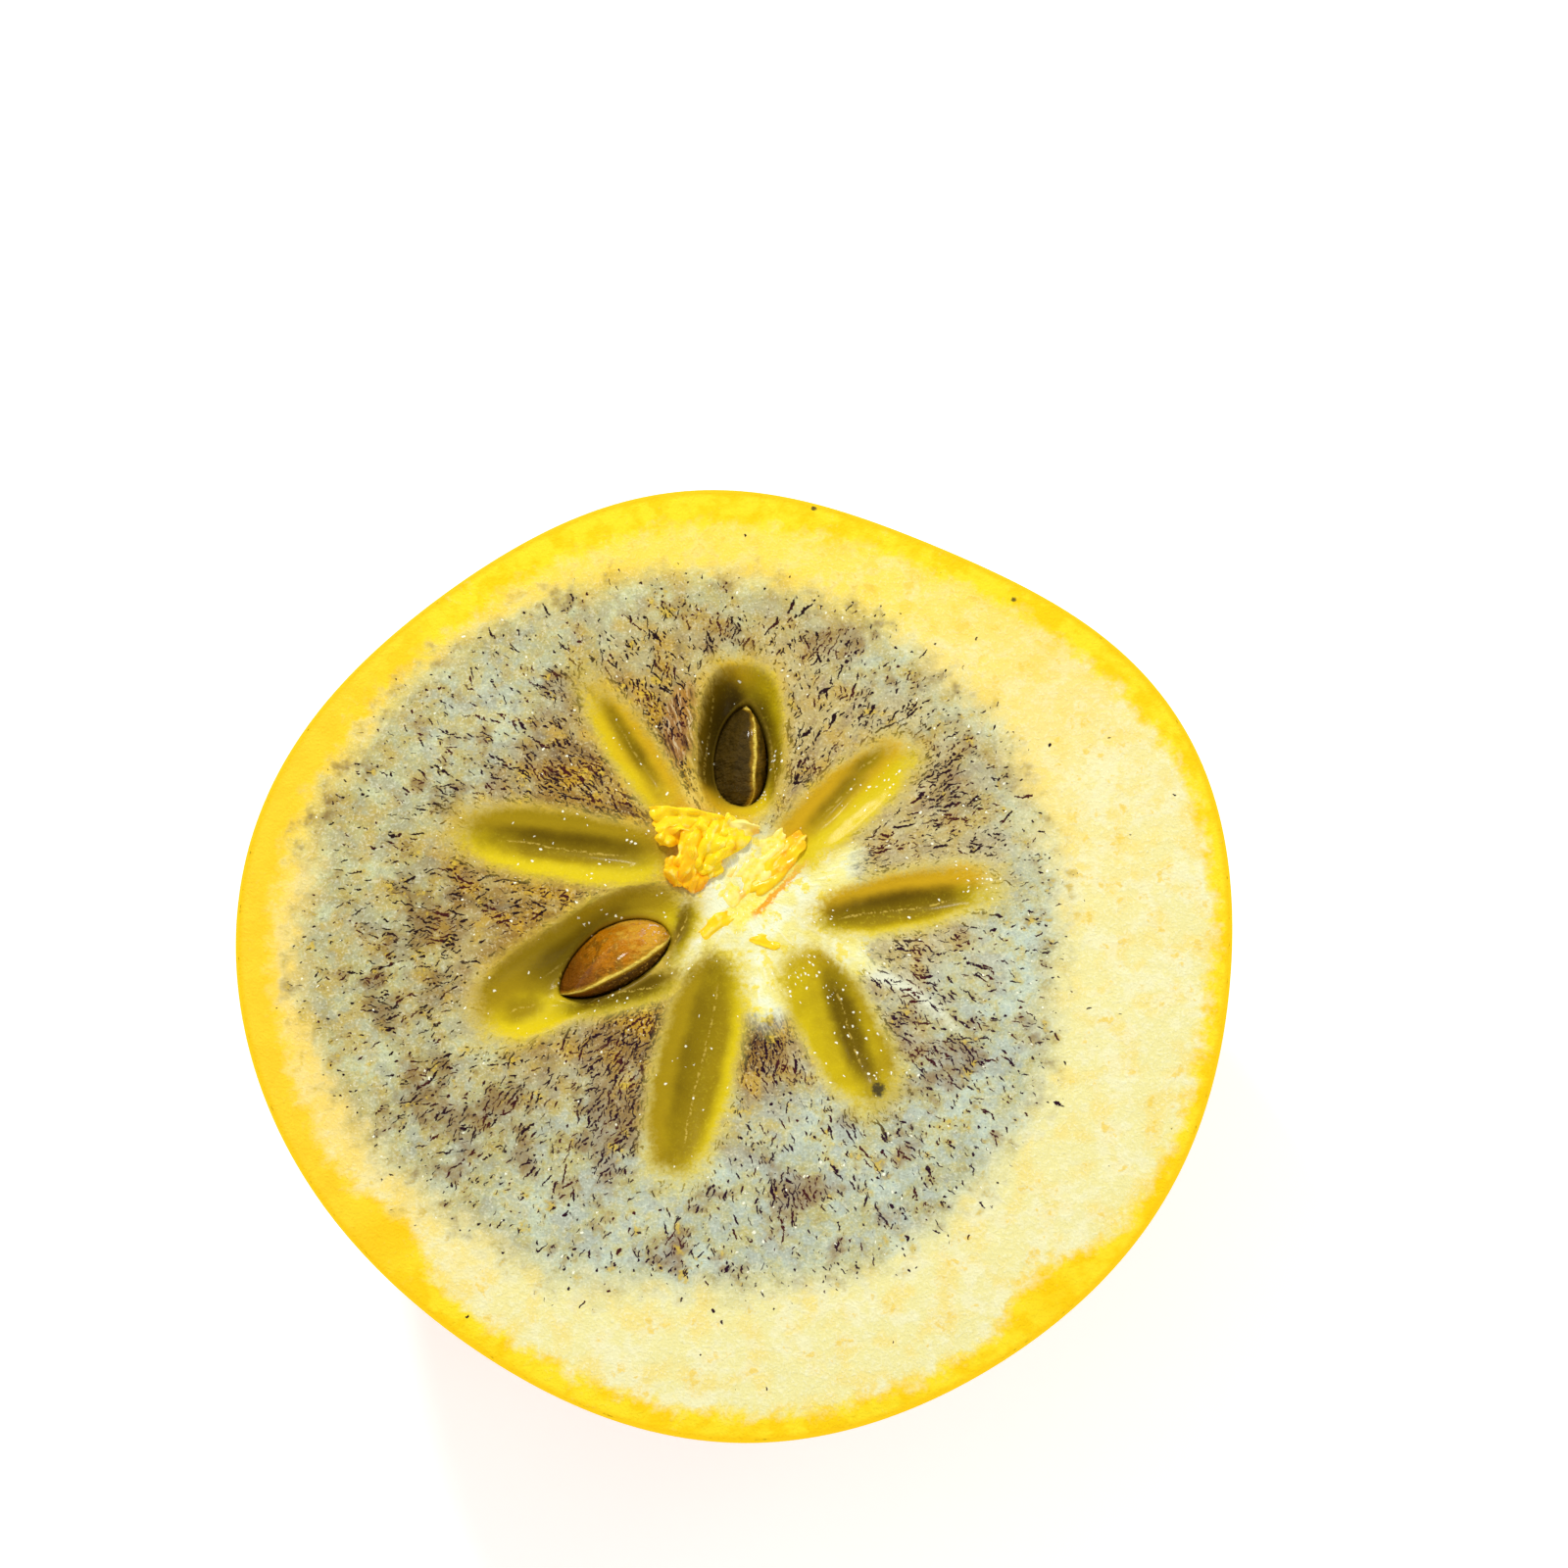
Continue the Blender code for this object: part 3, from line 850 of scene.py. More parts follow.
# %% Torn pulp
# Place from the core, direction, length, width, height above the cut, lean and tone, which
# goes from cream at -1 over yellow at 0 to orange at 1.
TORN_PULP = (
    (-4.2, 5.7, -8, 5.4, 2.1, 1.3, 25, 0.5),
    (-4.5, 5.0, 6, 4.2, 1.8, 1.6, -32, 0.1),
    (-4.4, 2.9, 84, 4.6, 2.0, 2.1, 48, 1.0),
    (-3.5, 2.9, 78, 3.8, 1.8, 2.3, -45, 0.7),
    (-3.4, 0.9, 60, 2.0, 1.4, 0.9, 10, 1.2),
    (-2.4, 3.5, 66, 4.4, 2.3, 1.8, 30, 0.1),
    (-1.6, 3.1, 50, 3.6, 1.8, 1.5, -30, 0.0),
    (-0.9, 3.9, 35, 3.2, 1.6, 1.1, 20, -0.4),
    (-0.4, 5.1, -8, 3.6, 1.3, 0.8, 40, -0.9),
    (1.0, 1.9, 48, 7.4, 3.0, 0.1, -3, -0.8),
    (2.7, 2.2, 46, 6.0, 2.2, 0.25, -8, 0.1),
    (-1.9, -2.6, 38, 2.8, 1.3, 0.25, 10, -0.2),
    (1.9, -3.9, -15, 2.4, 1.1, 0.1, -10, -0.2),
    (-5.6, 4.6, 30, 2.0, 1.2, 1.7, 35, 0.7),
    (-3.0, 4.9, 120, 2.0, 1.3, 2.0, -20, 0.0),
    (-2.6, 1.9, 20, 1.9, 1.2, 1.3, 30, 0.3),
    (-1.2, 4.9, 75, 2.0, 1.1, 1.4, 25, -0.5),
    (-4.9, 1.5, 100, 2.2, 1.1, 1.5, -30, 1.1),
)
SCRAP_THICKNESS = 0.6
LOW_SCRAP = 0.5


def make_scrap(index, x, y, direction, length, width, height, lean, tone):
    """One ragged, crinkled scrap of pulp."""
    bpy.ops.mesh.primitive_grid_add(x_subdivisions=14, y_subdivisions=7, size=2)
    scrap = bpy.context.object
    grid = places(scrap) * MM
    border = np.maximum(np.abs(grid[:, 0]), np.abs(grid[:, 1])) ** 6
    ragged = lumps(grid, 0.4, 20 + index)
    spots = grid * np.array((length / 2, width / 2, 0)) * (1 + 0.35 * border * ragged)[:, None]
    spots[:, 1] *= 1 - 0.4 * grid[:, 0] ** 2 + 0.25 * lumps(grid * np.array((1, 0, 0)), 0.5, 70 + index)
    arch = height * (0.5 + 0.3 * ragged) * (1 - 0.6 * grid[:, 0] ** 2) * (1 - 0.3 * grid[:, 1] ** 2)
    spots[:, 2] = arch
    put(scrap, spots)
    use_modifier(scrap, "SOLIDIFY", thickness=SCRAP_THICKNESS * MM, offset=0.0)
    use_modifier(scrap, "SUBSURF", levels=2, render_levels=2)
    spots = places(scrap)
    fibres = lumps(spots * np.array((0.5, 1, 1)), 0.45, 60 + index)
    folds = lumps(spots, 1.0, 80 + index)
    spots[:, 2] += 0.14 * fibres + min(0.6, 0.4 * height) * folds
    put(scrap, spots)
    keep_note(scrap, "tone", tone, fibres, folds)
    turn = Matrix.Rotation(math.radians(direction), 4, "Z")
    tilt = Matrix.Rotation(math.radians(lean), 4, "X")
    sunk = -0.1 if height > LOW_SCRAP else -0.3
    scrap.data.transform(Matrix.Translation((CORE + (x, y, sunk)) * MM) @ turn @ tilt)
    return scrap


def make_pulp():
    """All the scraps as one piece."""
    scraps = [make_scrap(index, *row) for index, row in enumerate(TORN_PULP)]
    only(scraps[0])
    for scrap in scraps:
        scrap.select_set(True)
    bpy.ops.object.join()
    pulp = added("torn_pulp")
    smooth(pulp)
    return pulp


pulp = make_pulp()

# %% [markdown]
# ## The seeds
# A persimmon seed is a flat brown almond with a thin rim all round. It stands on its end
# in its pocket, so the rim shows as a pale ridge between two brown flanks. A sphere is
# moved to the almond's formula, as in the solids, with a bead along its rim.

# %% The seeds
BEAD_HEIGHT = 0.16
BEAD_WIDTH = 0.075


def make_seed(name, seed):
    """One seed with its rim."""
    bpy.ops.mesh.primitive_uv_sphere_add(segments=128, ring_count=96, radius=1)
    piece = added(name + "_coat")
    ball = places(piece) * MM
    out, side, up = ball.T
    flat = np.maximum(np.hypot(out, up), 1e-6)
    blunt = 1 / blunt_length(out / flat, up / flat, SEED_BLUNTNESS)
    thin = np.maximum(1 - np.maximum(out, 0), 0) ** SEED_POINT
    bead = BEAD_HEIGHT * np.exp(-(side / BEAD_WIDTH) ** 2)
    dent = 1 - 0.05 * soft_step(1 - np.abs(side), 0.75, 0.9) + 0.02 * lumps(ball * 5, 1, 8)
    own = SEED_HALF * columns(out * blunt, side * thin * dent, up * blunt)
    put(piece, own + bead[:, None] * columns(out, 0, up) - 0.1 * ball)
    keep_note(piece, "seed", side, out, up)
    to_fruit = seed_place(seed)
    to_fruit.translation *= MM
    piece.data.transform(to_fruit)
    smooth(piece)
    return piece


seeds = {name: make_seed(name, seed) for name, seed in SEEDS.items()}
print("seeds", list(seeds))

# %% [markdown]
# ## The calyx and the stem
# Four dry sepals spread under the fruit from a thick disc, with the clipped stem in its
# middle. The solids have their outline, and here they get a finer edge, veins and a thinner
# wall. The ring is a grid bent round, as in the solids.

# %% The calyx and the stem
# Direction, reach and curl at the tip.
SEPALS = ((11, 24.2, 3.0), (102, 22.8, 2.2), (192, 24.4, 3.3), (280, 23.2, 2.6))
NOTCH_REACH = 9.5
SEPAL_THICKNESS = 1.1
SEPAL_WALL = 0.95
SEPAL_THINNING = 0.62
SEPAL_INNER = 3.5
SEPAL_ROUNDNESS = 3.0
CALYX_GAP = 0.6
FLAT_FROM = 12.0
FLAT_TO = 18.0
EDGE_WAVE = 0.9
# Radius and height of the disc's profile.
DISC_PROFILE = ((0.0, 5.6), (2.5, 5.2), (4.3, 4.1), (4.8, 3.4), (4.3, 3.0), (0.0, 2.9))
STEM_RADIUS = 2.7
STEM_TOP = 2.6
STEM_BOTTOM = 0.7
STEM_RIBS = 5
RIB_HEIGHT = 0.18


def fruit_underside(reach):
    """The height of the fruit's underside at a distance from the axis."""
    widest = CUT_RADIUS / CUT_SHARE
    wall = WIDEST_HEIGHT - BODY_DEPTH * np.sqrt(1 - (reach / widest) ** WALL_POWER)
    return wall + DIMPLE_DEPTH * np.exp(-(reach / DIMPLE_RADIUS) ** 2)


def sepal_of(around):
    """For each direction: its sepal's reach and curl, its side share, and its own angle."""
    shares, offs = [], []
    for index, (direction, _, _) in enumerate(SEPALS):
        off = (np.degrees(around) - direction + 180) % 360 - 180
        left = (SEPALS[(index + 1) % len(SEPALS)][0] - direction) % 360 / 2
        right = (direction - SEPALS[index - 1][0]) % 360 / 2
        shares.append(np.abs(off) / np.where(off > 0, left, right))
        offs.append(off)
    nearest = np.argmin(shares, axis=0)
    _, reach, curl = np.array(SEPALS)[nearest].T
    return np.min(shares, axis=0), reach, curl, np.choose(nearest, offs)


def make_sepals():
    """The four sepals as one thin wall, with notes of where their veins are."""
    bpy.ops.mesh.primitive_grid_add(x_subdivisions=420, y_subdivisions=64, size=2)
    sepals = added("sepals")
    grid = places(sepals) * MM
    around = math.pi * (grid[:, 0] + 1)
    outward = (grid[:, 1] + 1) / 2
    share, longest, curl, own = sepal_of(around)
    edge = NOTCH_REACH + (longest - NOTCH_REACH) * np.sqrt(np.maximum(0, 1 - share ** SEPAL_ROUNDNESS))
    reach = SEPAL_INNER + (edge - SEPAL_INNER) * outward
    ring = columns(reach * np.cos(around), reach * np.sin(around), 0)
    reach = reach - 0.35 * outward ** 6 * (1 + lumps(ring, 1.6, 31))
    beyond = np.maximum(0, (reach - FLAT_TO) / (longest - FLAT_TO))
    near = np.maximum(0, fruit_underside(reach) - SEPAL_THICKNESS - CALYX_GAP)
    height = np.where(reach < FLAT_FROM, near, curl * beyond ** 2 + EDGE_WAVE * beyond * share ** 2)
    vein = np.abs(np.sin(np.radians(own) * 9 + 0.5 * lumps(ring, 3, 33))) ** 6
    middle = np.exp(-(own / 2.2) ** 2)
    put(sepals, columns(reach * np.cos(around), reach * np.sin(around), height))
    keep_note(sepals, "leaf", outward, share, np.maximum(1 - vein, middle))
    with edit_mode(sepals):
        bpy.ops.mesh.remove_doubles(threshold=1e-6)
    count = len(sepals.data.vertices)
    use_modifier(sepals, "SOLIDIFY", thickness=SEPAL_WALL * MM, offset=-1.0)
    thin_edge(sepals, count)
    smooth(sepals, 50)
    return sepals


def thin_edge(sepals, count):
    """Thins the wall towards its edge by bringing the upper side down."""
    note = np.empty(len(sepals.data.vertices) * 3, np.float32)
    sepals.data.attributes["leaf"].data.foreach_get("vector", note)
    spots = places(sepals)
    drop = SEPAL_THINNING * soft_step(note[::3], 0.45, 1.0)
    spots[count:, 2] -= drop[count:]
    put(sepals, spots)


def make_disc():
    """The disc that the sepals grow from, spun from its profile."""
    bpy.ops.mesh.primitive_circle_add(vertices=3, radius=1)
    disc = added("calyx_disc")
    with edit_mode(disc):
        bpy.ops.mesh.delete(type="VERT")
    profile = [(radius * MM, 0, height * MM) for radius, height in DISC_PROFILE]
    disc.data.from_pydata(profile, [(k, k + 1) for k in range(len(profile) - 1)], [])
    with edit_mode(disc):
        bpy.ops.mesh.spin(steps=96, angle=math.tau, center=(0, 0, 0), axis=(0, 0, 1))
        bpy.ops.mesh.select_all(action="SELECT")
        bpy.ops.mesh.remove_doubles(threshold=1e-6)
        bpy.ops.mesh.normals_make_consistent(inside=False)
    use_modifier(disc, "SUBSURF", levels=2, render_levels=2)
    smooth(disc)
    return disc


def make_stem():
    """The clipped stem: a ribbed stub with a rough end."""
    bpy.ops.mesh.primitive_cylinder_add(vertices=120, radius=STEM_RADIUS * MM,
                                        depth=(STEM_TOP - STEM_BOTTOM) * MM,
                                        location=(0, 0, (STEM_TOP + STEM_BOTTOM) / 2 * MM))
    stem = added("stem_bark")
    bpy.ops.object.transform_apply(location=True, rotation=False, scale=False)
    with edit_mode(stem):
        bpy.ops.mesh.select_mode(type="FACE")
        bpy.ops.mesh.select_all(action="SELECT")
        bpy.ops.mesh.inset(thickness=0.3 * MM, use_individual=False)
        bpy.ops.mesh.select_all(action="SELECT")
        bpy.ops.mesh.bevel(offset=0.12 * MM, segments=2)
    spots = places(stem)
    around = np.arctan2(spots[:, 1], spots[:, 0])
    ribs = RIB_HEIGHT / STEM_RADIUS * np.cos(STEM_RIBS * around)
    spots[:, :2] *= (1 + ribs + 0.03 * lumps(spots, 0.5, 51))[:, None]
    put(stem, spots)
    smooth(stem, 40)
    return stem


sepals = make_sepals()
disc = make_disc()
stem = make_stem()

# %% [markdown]
# ## Flesh colours
# From the rim inwards the flesh goes from a saturated yellow band through pale cream to a
# speckled zone of grey, tan and green, and the core is a white star. The colours are
# layered in that order, each with its own share from the distances kept on the mesh, and
# the shares are frayed with noise so that nothing has a drawn edge. Where a row has two
# colours, a number goes between them: mostly how pale the fruit is, to its lower right.

# %% Flesh colours
# Scale, detail and roughness of the noise fields. The places in this list are their seeds.
FIELDS = {
    "coarse": (0.14, 2.0, 0.5), "cloud": (0.42, 3.0, 0.6), "blotch": (0.95, 2.0, 0.5),
    "fine": (2.4, 3.0, 0.7), "grain": (5.5, 1.0, 0.5), "cluster": (0.3, 3.0, 0.65),
    "warmth": (0.5, 1.0, 0.35), "clear": (0.28, 3.0, 0.6),
}
# Length and width of a stroke's cell, then of the stroke, and the seed, from bold to fine.
STROKES = ((2.0, 0.8, 1.7, 0.2, 5), (1.15, 0.42, 1.15, 0.14, 1), (0.7, 0.34, 0.6, 0.12, 2),
           (0.4, 0.34, 0.26, 0.13, 3))
# Cell and speck sizes for the painted glints.
GLINT_SPECK_SIZES = (0.36, 0.3, 0.2, 0.13, 4)
STROKE_REACH = 15.0
# The seam of the angle round the core lies in the left pocket.
SEAM = math.radians(165 - 180)
# Place from the core and radius of three dark marks.
MARKS = ((21.2, 23.5, 0.28), (5.6, 31.1, 0.28), (10.3, -15.2, 0.7))
STRIP_DIRECTION = math.radians(47)
STRIP_OFFSET = 2.0


class FleshFields:
    """The numbers that the flesh's colours share."""

    def __init__(self, finish):
        self.x, self.y, self.z = finish.split(finish.place(CORE * MM))
        self.flat = finish.join(self.x, self.y)
        self.reach = finish.vector("LENGTH", self.flat, key="Value")
        self.inside, self.shade, _ = finish.note("pockets")
        self.gap, self.wedge, self.star = finish.note("core")
        self.deep, self.tone, self.off_middle = finish.note("jelly")
        self.rim, self.band, self.zone = finish.note("zones")
        self.stain, self.fibrous, self.white_rays = finish.note("stains")
        # wet holds the amount of painted glints at each place.
        self.wet, paler, _ = finish.note("glints")
        for seed, (name, settings) in enumerate(FIELDS.items(), 1):
            shifted = finish.vector("ADD", self.flat, (seed * 13.7, seed * 5.9, seed * 2.3))
            setattr(self, name, finish.noise(shifted, *settings))
        ray_x, ray_y, _ = finish.split(finish.vector("NORMALIZE", self.flat))
        rays = finish.join(ray_x * 13.0, ray_y * 13.0, self.reach * 0.25)
        self.streaks = finish.noise(rays, 1.0, 3.0, 0.65)
        self.frost = self.grain * 0.45 + self.fine * 0.55
        lower = (self.x * 0.6 - self.y * 0.8 + self.coarse.sway(30)).rise(-18, 24)
        self.pale = finish.math("MINIMUM", lower + paler, 1.0).most(0.0)
        self.right = (self.x + self.y * 0.35 + self.coarse.sway(12)).rise(-2, 12)
        self.bend = self.blotch.sway(0.7) + self.fine.sway(0.4)
        self.ragged = self.grain.sway(2.0)
        self.turn = finish.math("ARCTAN2", self.y * math.cos(SEAM) - self.x * math.sin(SEAM),
                                self.x * math.cos(SEAM) + self.y * math.sin(SEAM))


def strokes(finish, f, chance, cell_long, cell_wide, length, width, seed):
    """Short wavy strokes that point away from the core, at most one to a cell."""
    shift = (seed * 7.3, seed * 3.1, 0)
    spot = finish.join(f.reach * (1 / cell_long), f.turn * (STROKE_REACH / cell_wide))
    cells = finish.node("TexVoronoi", {"voronoi_dimensions": "2D"},
                        {"Vector": finish.vector("ADD", spot, shift), "Scale": 1.0})
    dot = finish.vector("SUBTRACT", finish.out(cells, "Position"), shift)
    luck = finish.split(finish.out(cells, "Color"))
    out, side, _ = finish.split(finish.vector("SUBTRACT", spot, dot))
    out = out * cell_long
    side = side * f.reach * (cell_wide / STROKE_REACH) + f.bend
    lean = luck[2].sway(1.5)
    along = (out + side * lean) * (2 / length)
    across = (side - out * lean) * (2 / width)
    size = 0.45 + luck[1]
    off = (along * along + across * across) / (size * size)
    drawn = (off + f.ragged).rise(1.3, 0.5) * finish.math("GREATER_THAN", chance, luck[0])
    return drawn * (0.7 + 0.5 * luck[1])


def outer_color(finish, f):
    """The flesh outside the speckled zone, with the yellow band under the skin."""
    warm = (f.y * 0.8 - f.x * 0.25 + f.coarse.sway(18)).rise(2, 20)
    mottle = (f.warmth * 0.6 + f.cloud * 0.4).rise(0.46, 0.62)
    light = (f.clear * 0.5 + f.blotch * 0.5).rise(0.48, 0.6)
    spots = (f.blotch * 0.5 + f.fine * 0.25 + f.warmth * 0.25 + warm * 0.02).rise(0.57, 0.64)
    band = (f.rim - f.band + f.blotch.sway(2.6) + f.fine.sway(1.0)).rise(1.1, -0.5)
    band_color = finish.layers(
        (253, 224, 40),
        (f.cloud.rise(0.42, 0.6), (253, 208, 18)),
        (f.band.rise(2.6, 3.6) * 0.8, (252, 204, 12)),
        (f.x.rise(-20, -34) * 0.7, (253, 204, 50)))
    return finish.layers(
        ((252, 218, 108), (241, 232, 160)),
        (warm * 0.7, (252, 224, 74)),
        (mottle * (0.35 + 0.4 * warm), (251, 214, 76)),
        (light * (0.15 + 0.4 * f.pale), (246, 242, 200)),
        (f.frost.rise(0.5, 0.64) * (0.1 + 0.3 * f.pale), (255, 252, 214)),
        (f.frost.rise(0.44, 0.34) * 0.15, (236, 204, 104)),
        (spots * 0.7, (243, 206, 60)),
        (band, band_color),
        (f.rim.rise(0.45, 0.0) * 0.8, (251, 198, 18)), between=f.pale)


def zone_color(finish, f):
    """The speckled zone without its strokes: clouds of clear, dull and yellow flesh."""
    clear = (f.clear + f.blotch.sway(0.4) - f.stain).rise(0.44, 0.6)
    warm = (f.warmth * 0.7 + f.coarse * 0.3).rise(0.45, 0.62)
    dull = (f.cloud + f.blotch.sway(0.3)).rise(0.5, 0.34)
    tint = f.blotch * 0.5 + f.fine * 0.3 + f.cloud * 0.2
    return finish.layers(
        ((186, 178, 118), (183, 186, 149)),
        (clear * 0.9, ((206, 210, 160), (202, 214, 189))),
        (warm * (0.7 - 0.3 * f.pale), ((190, 162, 84), (200, 190, 124))),
        (dull * 0.6, ((150, 132, 84), (160, 152, 122))),
        (tint.rise(0.49, 0.58) * 0.6, ((196, 172, 78), (198, 184, 96))),
        (tint.rise(0.5, 0.42) * 0.5, ((184, 190, 158), (190, 206, 198))),
        (f.frost.rise(0.51, 0.62) * 0.35, (246, 248, 224)),
        (f.frost.rise(0.47, 0.36) * 0.28, (116, 96, 64)), between=f.pale)


def between_color(finish, f):
    """The brown flesh between the pockets, streaked away from the core, paler on the right."""
    orange = (f.warmth * 0.4 + f.blotch * 0.4 + f.streaks * 0.2).rise(0.49, 0.6)
    stained = (f.stain + f.fine.sway(0.3)).rise(0.15, 0.45)
    mauve = (f.clear + f.blotch.sway(0.5)).rise(0.5, 0.64)
    return finish.layers(
        ((158, 120, 46), (196, 172, 106)),
        (f.streaks.rise(0.5, 0.64) * 0.9, ((186, 158, 84), (218, 202, 146))),
        (f.streaks.rise(0.47, 0.34) * 0.8, ((108, 76, 40), (156, 120, 82))),
        (orange * (0.85 - 0.4 * f.right), (202, 158, 38)),
        (stained * 0.55, (98, 66, 48)),
        (mauve * (0.15 + 0.3 * f.right), (142, 118, 84)),
        (f.frost.rise(0.53, 0.66) * 0.5, (236, 218, 168)),
        (f.frost.rise(0.46, 0.34) * 0.45, (84, 56, 34)), between=f.right)


def fibrous_color(finish, f):
    """The patch of torn fibres left of the top pocket."""
    across = f.x * 3.2 + f.y * 0.8 + f.cloud * 1.5
    strands = finish.noise(finish.join(across, f.y * 0.4, 3.0), 1.0, 3.0, 0.7)
    return finish.layers(
        (84, 52, 34),
        (strands.rise(0.38, 0.47), (158, 114, 60)),
        (strands.rise(0.52, 0.6) * 0.8, (214, 192, 148)),
        (f.blotch.rise(0.54, 0.66) * 0.5, (196, 142, 48)))


def pocket_color(finish, f):
    """A pocket: yellow jelly with a darker middle and painted shade, darkest on the side nearer the
    light, where its wall faces away from it.
    """
    warm = (f.x * 0.5 + f.y + f.coarse.sway(4)).rise(-1, 7).most(f.reach.rise(10.5, 7.5) * f.right)
    deep = (f.deep + f.cloud.sway(0.7)).rise(-0.55, 0.55)
    # The dark jelly's tone carries painted shade, darker on the side towards the light.
    dark = finish.layers((160, 134, 16), ((f.tone + f.cloud.sway(0.4)).rise(0.0, 1.0), (98, 76, 6)))
    # A pale midline in the dark jelly, dotted with painted glints.
    midline_glints = abs(f.off_middle + f.blotch.sway(0.4)).rise(0.1, 0.05)
    midline_glints = midline_glints * f.frost.rise(0.46, 0.54) * f.deep.rise(0.2, 0.5)
    # Painted light: bright yellow fuzz on the lit wall, on the side away from the light.
    lit_side_fuzz = f.frost.rise(0.52, 0.68) * f.shade.rise(0.5, -0.6)
    return finish.layers(
        (218, 194, 20),
        # Painted shade: the pocket's side towards the light is darker, and the other side is painted
        # lit.
        ((f.shade + f.cloud.sway(0.5)).rise(-0.4, 0.3), ((168, 140, 20), (212, 168, 28))),
        (deep * 0.95, dark),
        (midline_glints * 0.6, (214, 184, 84)),
        # Painted shade deep in the sunk hollows, darker on the side towards the light.
        ((f.z + f.shade * -0.5).rise(-1.1, -2.8) * 0.85, (66, 50, 8)),
        (lit_side_fuzz * 0.25, (240, 222, 60)), between=warm)


def core_color(finish, f):
    """The white star, with yellow pulp and a torn strip whose edge has a painted orange shadow line."""
    flakes = (f.blotch + f.fine.sway(0.5)).rise(0.57, 0.67)
    along = f.x * math.cos(STRIP_DIRECTION) + f.y * math.sin(STRIP_DIRECTION) - 1.6
    across = f.y * math.cos(STRIP_DIRECTION) - f.x * math.sin(STRIP_DIRECTION) + STRIP_OFFSET
    frayed = across + f.fine.sway(1.1)
    strip = abs(frayed - 0.9).rise(1.1, 0.7) * abs(along + f.blotch.sway(3)).rise(4.4, 3.4)
    # Painted shadow: an orange line along the strip's edge.
    edge = abs(frayed).rise(0.32, 0.1) * abs(along - 0.9).rise(3.6, 2.8)
    return finish.layers(
        (244, 246, 206),
        (f.cloud.rise(0.4, 0.6), (246, 238, 150)),
        (f.streaks.rise(0.54, 0.7) * 0.5, (255, 255, 236)),
        (flakes * 0.75, (251, 226, 26)),
        (strip * 0.7, ((254, 232, 44), (255, 246, 120))),
        (edge * 0.9, (246, 160, 10)), between=f.fine.rise(0.4, 0.6))


def dark_strokes(finish, f, zone_edge, zone, stain, knot, brown):
    """How dark the strokes are: dense in stains and between pockets, fine near the edge."""
    clump = (f.cluster * 0.5 + f.blotch * 0.5 + stain * 0.2).rise(0.44, 0.62)
    much = 0.14 + 0.2 * clump + (0.1 + 0.4 * clump) * stain + (0.04 + 0.3 * clump) * brown + 0.5 * knot
    much = much * zone_edge.rise(-1.2, 4.0) * f.inside.rise(0.15, -0.5) * f.star.rise(0.0, -1.5)
    within = zone_edge.rise(2.0, 6.0)
    freckle = 0.006 * f.rim.rise(0.8, 1.6)
    chances = ((0.04 + knot * 0.5 + stain * 0.3) * within + brown * 0.3,
               much * (0.25 + 0.9 * within), much,
               much * (0.9 - 0.4 * within) + 0.04 * zone + freckle)
    drawn = (strokes(finish, f, chance, *row) for chance, row in zip(chances, STROKES))
    return reduce(Value.most, drawn)


